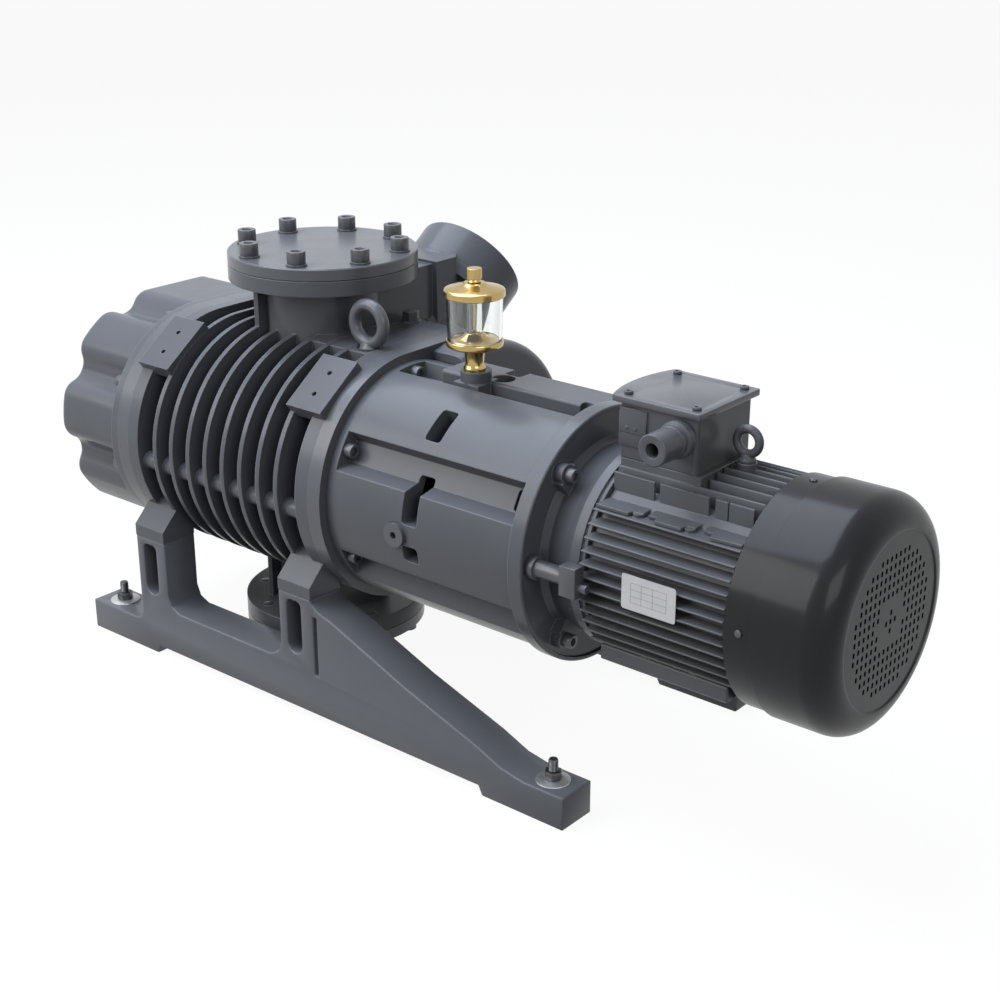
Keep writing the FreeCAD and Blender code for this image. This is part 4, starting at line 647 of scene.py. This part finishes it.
def fin_outline(root, tip, middle_line, out):
    """Tapered fin on the side given by out, 1 or -1, as (distance, height) points from the axis."""
    return [(out * root, middle_line - 2.1), (out * tip, middle_line - 1.3),
            (out * (tip + 0.9), middle_line - 0.5), (out * (tip + 0.9), middle_line + 0.5),
            (out * tip, middle_line + 1.3), (out * root, middle_line + 2.1)]


def motor_fins(start, end, beside_box, pitch, top_pitch, axis_y):
    """Side fins in a row of heights, and upright fins above and below."""
    parts = []
    side_rows, top_rows = 6, 4
    for index in range(side_rows):
        for height in ((index + 0.5) * pitch, -(index + 0.5) * pitch):
            root = math.sqrt(FRAME_CORE ** 2 - height ** 2) - 4.0
            tip = math.sqrt(FIN_CIRCLE ** 2 - height ** 2)
            for out in (1.0, -1.0):
                parts.append(along_x([(axis_y + y, z) for y, z in fin_outline(root, tip, height, out)],
                                     start, end, 0.3))
    for index in range(-top_rows, top_rows + 1):
        offset = index * top_pitch
        root = math.sqrt(FRAME_CORE ** 2 - offset ** 2) - 4.0
        tip = math.sqrt(FIN_CIRCLE ** 2 - offset ** 2)
        for up in (1.0, -1.0):
            first = beside_box if up > 0 and abs(index) < top_rows else start
            parts.append(along_x([(axis_y + z, y) for y, z in fin_outline(root, tip, offset, up)],
                                 first, end, 0.3))
    return parts


def corner_ledges(start, end, axis_y):
    """Notched ledges with bosses under them, and the plates that stand behind them."""
    parts = []
    ledge_height, ledge_depth, boss_y = 80.0, 4.0, -141.0
    ledges = (
        [(start + 1.0, -149.0), (606.0, -149.0), (607.0, -142.0), (621.0, -141.0), (618.0, -112.0),
         (start + 1.0, -112.0)],
        [(627.0, -141.0), (637.0, -140.0), (641.0, -149.5), (674.0, -149.0), (675.0, -139.0),
         (685.0, -137.0), (688.0, -112.0), (623.0, -112.0)],
        [(696.0, -138.0), (708.0, -139.0), (711.0, -149.5), (end - 1.0, -147.0), (end - 1.0, -112.0),
         (692.0, -112.0)])
    for back in (False, True):
        for outline in ledges:
            if back:
                outline = [(x, 2.0 * axis_y - y) for x, y in reversed(outline)]
            shape = soften(prism(outline, ledge_depth), 0.5, 1)
            parts.append((shape, UPRIGHT, (0.0, 0.0, ledge_height)))
        for x in (614.0, 681.0):
            y = 2.0 * axis_y - boss_y if back else boss_y
            boss = turned([(0.0, 0.0), (5.0, 0.0), (6.0, 9.0), (0.0, 9.0)], 24)
            parts.append((boss, UPRIGHT, (x, y, ledge_height - 6.0)))
        plate = oblong(-116.4, -113.0, 76.0, 112.0)
        for x0, x1 in ((start + 1.0, 617.0), (624.0, 687.0), (695.0, 710.8), (712.0, 743.0)):
            parts.append(along_x(flipped(plate, axis_y) if back else plate, x0, x1))
    return parts


def foot_pads(start, end, axis_y):
    """Lengthwise pads under the frame, where feet would be bolted, with two webs each."""
    parts = []
    pad = [(-147.0, -103.0), (-147.0, -84.0), (-128.0, -80.0), (-104.0, -92.0), (-104.0, -103.0)]
    web = oblong(-146.0, -132.0, -86.0, -76.0)
    for outline, spans in ((pad, ((start + 10.0, end - 9.0),)), (web, ((626.0, 638.0), (689.0, 701.0)))):
        for x0, x1 in spans:
            parts.append(along_x(outline, x0, x1, 1.5))
            parts.append(along_x(flipped(outline, axis_y), x0, x1, 1.5))
    return parts


class PUMP_OT_motor_frame(bpy.types.Operator):
    """Cast the finned motor frame with its ledges, foot pads and seats"""
    bl_idname = "pump.motor_frame"
    bl_label = "Motor frame"

    def execute(self, context):
        sizes = context.scene.pump_sizes
        low, high = ((corner - ORIGIN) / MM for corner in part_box("motor_frame"))
        lid_low, lid_high = ((corner - ORIGIN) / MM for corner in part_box("terminal_box_lid"))
        eye = (middle("motor_eye_bolt") - ORIGIN) / MM
        axis_y = (low.y + high.y) / 2
        bore = (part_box("stator")[1].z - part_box("stator")[0].z) / 2 / MM + 0.02
        start, end = low.x, high.x
        beside_box = lid_high.x + 4.5
        length, edge = end - start, 1.5
        shell = turned([
            (bore, 0.0), (FRAME_CORE - edge, 0.0), (FRAME_CORE, edge), (FRAME_CORE, length - edge),
            (FRAME_CORE - edge, length), (bore, length)], 128, True)
        seat = (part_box("terminal_box")[0].z - ORIGIN.z) / MM
        front, back = lid_low.y + 6.0, lid_high.y - 6.0
        pedestal = [(front - 3.0, 84.0), (back + 3.0, 84.0), (back, seat - 6.0), (back, seat),
                    (front, seat), (front, seat - 6.0)]
        boss = turned([(4.1, 0.0), (11.0, 0.0), (11.0, high.z - 101.0), (10.0, high.z - 100.0),
                       (4.1, high.z - 100.0)], 40, True)
        parts = [(shell, TO_RIGHT, (start, axis_y, 0.0)),
                 along_x(pedestal, start + 0.4, lid_high.x + 0.5, 1.0),
                 (boss, UPRIGHT, (eye.x, axis_y, 100.0))]
        parts += motor_fins(start, end, beside_box, sizes.side_fin_pitch / MM,
                            sizes.top_fin_pitch / MM, axis_y)
        parts += corner_ledges(start, end, axis_y) + foot_pads(start, end, axis_y)
        piece("motor_frame_cast", settled(joined(parts), ORIGIN), "motor",
              replaces=["motor_frame"])
        return {"FINISHED"}


class PUMP_OT_terminal_box(bpy.types.Operator):
    """Bevel the terminal box and its lid, and turn its gland"""
    bl_idname = "pump.terminal_box"
    bl_label = "Terminal box"

    def execute(self, context):
        for node, width, shortest, finish in (
                ("terminal_box", 1.2, 20.0, "motor"), ("terminal_box_lid", 1.4, 0.0, "machined"),
                ("lid_screws", 0.6, 0.0, "screw")):
            shape = soften(merged(node), width * MM, clamp=False, shortest=shortest * MM)
            piece(node + "_bevelled", shape, finish, replaces=[node])
        lid = (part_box("terminal_box_lid")[0] - ORIGIN) / MM
        wide, tall, thick = 34.0, 39.0, 2.2
        entry = [(soften(prism(oblong(0.0, wide, 0.0, tall), thick), 0.7), UPRIGHT, (0.0, 0.0, 0.0))]
        for x in (wide / 2 - 5.6, wide / 2 + 5.6):
            head = turned([(0.0, 2.0), (2.4, 2.0), (2.4, 3.2), (1.7, 3.9), (0.0, 3.9)], 20)
            entry.append((head, UPRIGHT, (x, 21.5, 0.0)))
        spot = place(560.0, lid.y + 6.0, 141.0)
        piece("blank_entry_plate", settled(joined(entry), spot, TO_FRONT), "motor")
        low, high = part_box("cable_gland")
        spot = Vector(((low.x + high.x) / 2, low.y, (low.z + high.z) / 2))
        depth = (high.y - low.y) / MM
        gland = turned([
            (8.2, 0.6), (9.4, 0.0), (16.8, 0.0), (18.0, 1.2), (18.0, 30.0), (17.2, 31.0), (17.2, 33.0),
            (18.4, 34.0), (18.4, 38.0), (17.6, 39.0), (17.6, 41.0), (20.2, 42.0), (21.0, 43.0),
            (21.0, 52.0), (20.0, 53.5), (15.8, 53.5), (15.8, depth), (8.2, depth)], 72, True)
        piece("cable_gland_turned", settled(gland, spot, Matrix.Rotation(math.radians(-90), 4, "X")),
              "motor", replaces=["cable_gland"])
        return {"FINISHED"}


class PUMP_OT_rating_plate(bpy.types.Operator):
    """Make the blank rating plate with its rivets and ruled fields"""
    bl_idname = "pump.rating_plate"
    bl_label = "Rating plate"

    def execute(self, context):
        low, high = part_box("rating_plate")
        wide = (high.x - low.x) / MM
        tall = (high.z - low.z) / MM
        thick = (high.y - low.y) / MM
        face = 0.7 * thick
        sheet = prism(oblong(0.0, wide, 0.0, tall), face)
        upright = [edge for edge in sheet.edges
                   if abs(edge.verts[0].co.z - edge.verts[1].co.z) > 0.5 * thick]
        bmesh.ops.bevel(sheet, geom=upright, offset=3.0, offset_type="OFFSET", segments=4, profile=0.5,
                        affect="EDGES", clamp_overlap=True, material=-1)
        parts = [(sheet, UPRIGHT, (0, 0, 0))]
        for x in (5.0, wide - 5.0):
            head = turned([(0.0, 0.0), (2.0, 0.0), (1.9, 0.35), (1.0, 0.52), (0.0, 0.56)], 16)
            parts.append((head, UPRIGHT, (x, 0.5 * tall, 0.6 * thick)))
        spot = Vector((low.x, high.y, low.z))
        piece("rating_plate_sheet", settled(joined(parts), spot, TO_FRONT), "plate",
              replaces=["rating_plate"])
        rules = []
        left, right = 12.0, wide - 12.0
        bottom, top = 9.0, tall - 9.0
        pen, relief = 0.2, 0.1
        for row in range(4):
            height = bottom + row * (top - bottom) / 3.0
            rules.append((prism(oblong(left, right, -pen, pen), relief), UPRIGHT, (0, height, face)))
        for share in (0.0, 0.3, 0.62, 1.0):
            x = left + share * (right - left)
            rules.append((prism(oblong(-pen, pen, bottom, top), relief), UPRIGHT, (x, 0, face)))
        piece("rating_plate_rules", settled(joined(rules), spot, TO_FRONT), "etch")
        return {"FINISHED"}


class PUMP_OT_anchors(bpy.types.Operator):
    """Thread the anchor studs, and shape their nuts and washers"""
    bl_idname = "pump.anchors"
    bl_label = "Anchors"

    def execute(self, context):
        low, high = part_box("anchor_studs")
        washer_low, washer_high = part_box("anchor_washers")
        washer_radius, nut_corner, nut_height = 21.0, 10.9, 10.0
        crest, root, thread_start = 5.9, 5.3, 12.0
        half = washer_radius * MM
        floor = low.z
        seat = (washer_low.z - floor) / MM
        top = (high.z - floor) / MM
        pitch = context.scene.pump_sizes.thread_pitch / MM
        height = seat + thread_start
        thread = [(0.0, 0.0), (crest, 0.0), (crest, height)]
        while height + pitch < top - 1.0:
            thread += [(root, height + 0.5 * pitch), (crest, height + pitch)]
            height += pitch
        thread += [(5.0, top), (0.0, top)]
        studs = []
        washers = []
        for x in (washer_low.x + half, washer_high.x - half):
            for y in (washer_low.y + half, washer_high.y - half):
                spot = ((x - ORIGIN.x) / MM, (y - ORIGIN.y) / MM, 0.0)
                angles = [math.tau * corner / 6 for corner in range(6)]
                hexagon = [(nut_corner * math.cos(angle), nut_corner * math.sin(angle)) for angle in angles]
                nut = prism(hexagon, nut_height)
                soften(nut, 0.7, 2)
                studs.append((turned(thread, 32), UPRIGHT, spot))
                studs.append((nut, UPRIGHT, (spot[0], spot[1], seat + 3.0)))
                disc = turned([(6.8, 0.2), (7.2, 0.0), (washer_radius - 0.4, 0.0), (washer_radius, 0.4),
                               (washer_radius - 0.4, 1.4), (washer_radius - 4.0, 2.4), (12.0, 3.0),
                               (7.2, 3.0), (6.8, 2.8)], 64, True)
                washers.append((disc, UPRIGHT, (spot[0], spot[1], seat)))
        base = Vector((ORIGIN.x, ORIGIN.y, floor))
        piece("anchor_studs_threaded", settled(joined(studs), base), "steel",
              replaces=["anchor_studs"])
        piece("anchor_washers_domed", settled(joined(washers), base), "zinc",
              replaces=["anchor_washers"])
        return {"FINISHED"}


# Stage

# Camera fitted to the photograph, in millimetres from the inlet's axis at shaft height.
CAMERA_SPOT = (1583.94, -1541.98, 768.02)
CAMERA_TARGET = (92.29, 253.54, -152.84)
CAMERA_LENS = 61.11
# Half of the floor's side, in metres.
FLOOR_REACH = 40.0


def seen_directly(tree):
    """One where a camera, mirror or glass ray meets the surface, and nought for other light."""
    rays = add_node(tree, "ShaderNodeLightPath")
    first = add_node(tree, "ShaderNodeMath", {"operation": "MAXIMUM"},
                     {0: rays.outputs["Is Camera Ray"], 1: rays.outputs["Is Glossy Ray"]})
    both = add_node(tree, "ShaderNodeMath", {"operation": "MAXIMUM"},
                    {0: first.outputs[0], 1: rays.outputs["Is Transmission Ray"]})
    return both.outputs[0]


def add_softbox(name, spot, aim, width, depth, power, tint):
    lamp = bpy.data.lights.new(name, "AREA")
    lamp.color = linear(tint)
    lamp.shape = "RECTANGLE"
    lamp.size = width
    lamp.size_y = depth
    lamp.energy = power
    obj = bpy.data.objects.new(name, lamp)
    obj.location = spot
    obj.rotation_euler = (Vector(aim) - Vector(spot)).to_track_quat("-Z", "Y").to_euler()
    bpy.context.scene.collection.objects.link(obj)


class PUMP_OT_stage(bpy.types.Operator):
    """Set up the floor, the soft lights and the camera"""
    bl_idname = "pump.stage"
    bl_label = "Studio"

    def execute(self, context):
        scene = context.scene
        bm = bmesh.new()
        bmesh.ops.create_grid(bm, x_segments=1, y_segments=1, size=FLOOR_REACH)
        mesh = bpy.data.meshes.new("floor")
        bm.to_mesh(mesh)
        bm.free()
        floor = bpy.data.objects.new("floor", mesh)
        scene.collection.objects.link(floor)
        # Matt paint on a studio floor: white in view and in reflections, with a faint soft shadow.
        material = bpy.data.materials.new("Matt painted studio floor")
        material.use_nodes = True
        tree = material.node_tree
        tree.nodes.clear()
        tone = tuple(scene.pump_colours.floor)
        paint = add_node(tree, "ShaderNodeBsdfDiffuse", {"Color": (*toned(tone, 0.09), 1.0)})
        glow = add_node(tree, "ShaderNodeEmission", {"Color": (*linear("FDFDFD"), 1.0), "Strength": 0.95})
        lit = add_node(tree, "ShaderNodeAddShader", links={0: paint.outputs[0], 1: glow.outputs[0]})
        plain = add_node(tree, "ShaderNodeBsdfDiffuse", {"Color": (*toned(tone, 0.14), 1.0)})
        mix = add_node(tree, "ShaderNodeMixShader",
                       links={0: seen_directly(tree), 1: plain.outputs[0], 2: lit.outputs[0]})
        add_node(tree, "ShaderNodeOutputMaterial", links={"Surface": mix.outputs[0]})
        mesh.materials.append(material)

        world = bpy.data.worlds.new("Studio")
        scene.world = world
        world.use_nodes = True
        tree = world.node_tree
        tree.nodes.clear()
        soft = add_node(tree, "ShaderNodeBackground", {"Color": (*linear("F4F6F8"), 1.0), "Strength": 0.15})
        white = add_node(tree, "ShaderNodeBackground", {"Color": (*linear("FDFDFD"), 1.0), "Strength": 1.0})
        mix = add_node(tree, "ShaderNodeMixShader",
                       links={0: seen_directly(tree), 1: soft.outputs[0], 2: white.outputs[0]})
        add_node(tree, "ShaderNodeOutputWorld", links={"Surface": mix.outputs[0]})

        centre = middle("rotor_casing")
        add_softbox("overhead_softbox", centre + Vector((-0.7, -0.2, 2.5)), centre, 3.0, 2.2, 114.0, "E6EEFF")
        add_softbox("side_softbox", centre + Vector((-1.3, -2.3, 1.6)), centre, 2.6, 1.9, 68.0, "FFFDFA")
        add_softbox("fill_softbox", centre + Vector((2.8, -1.4, 1.3)), centre, 1.6, 1.2, 18.0, "FFFFFF")

        camera = bpy.data.cameras.new("camera")
        camera.lens = CAMERA_LENS
        camera.sensor_width = 36.0
        camera.clip_end = 200.0
        view = bpy.data.objects.new("camera", camera)
        view.location = place(*CAMERA_SPOT)
        view.rotation_euler = (place(*CAMERA_TARGET) - view.location).to_track_quat("-Z", "Y").to_euler()
        scene.collection.objects.link(view)
        scene.camera = view
        scene.view_settings.view_transform = "Standard"
        return {"FINISHED"}


STEPS = ("finishes", "rails", "motor_frame", "screws", "fan_cowl", "cowl_screws", "eyes", "oiler",
         "terminal_box", "rating_plate", "anchors", "stage")


class PUMP_PT_panel(bpy.types.Panel):
    """Lists the pump's sizes, colours and pieces"""
    bl_label = "Roots vacuum pump"
    bl_idname = "PUMP_PT_panel"
    bl_space_type = "VIEW_3D"
    bl_region_type = "UI"
    bl_category = "Pump"

    def draw(self, context):
        layout = self.layout
        for group in (context.scene.pump_sizes, context.scene.pump_colours):
            for name in group.__annotations__:
                layout.prop(group, name)
        for step in STEPS:
            layout.operator("pump." + step)


CLASSES = (
    PumpSizes, PumpColours, PUMP_OT_finishes, PUMP_OT_rails, PUMP_OT_motor_frame, PUMP_OT_screws,
    PUMP_OT_fan_cowl, PUMP_OT_cowl_screws, PUMP_OT_eyes, PUMP_OT_oiler, PUMP_OT_terminal_box,
    PUMP_OT_rating_plate, PUMP_OT_anchors, PUMP_OT_stage, PUMP_PT_panel)


def register():
    for cls in CLASSES:
        bpy.utils.register_class(cls)
    bpy.types.Scene.pump_sizes = PointerProperty(type=PumpSizes)
    bpy.types.Scene.pump_colours = PointerProperty(type=PumpColours)


def unregister():
    del bpy.types.Scene.pump_colours
    del bpy.types.Scene.pump_sizes
    for cls in reversed(CLASSES):
        bpy.utils.unregister_class(cls)


def main():
    register()
    for step in STEPS:
        getattr(bpy.ops.pump, step)()


if __name__ == "__main__":
    main()
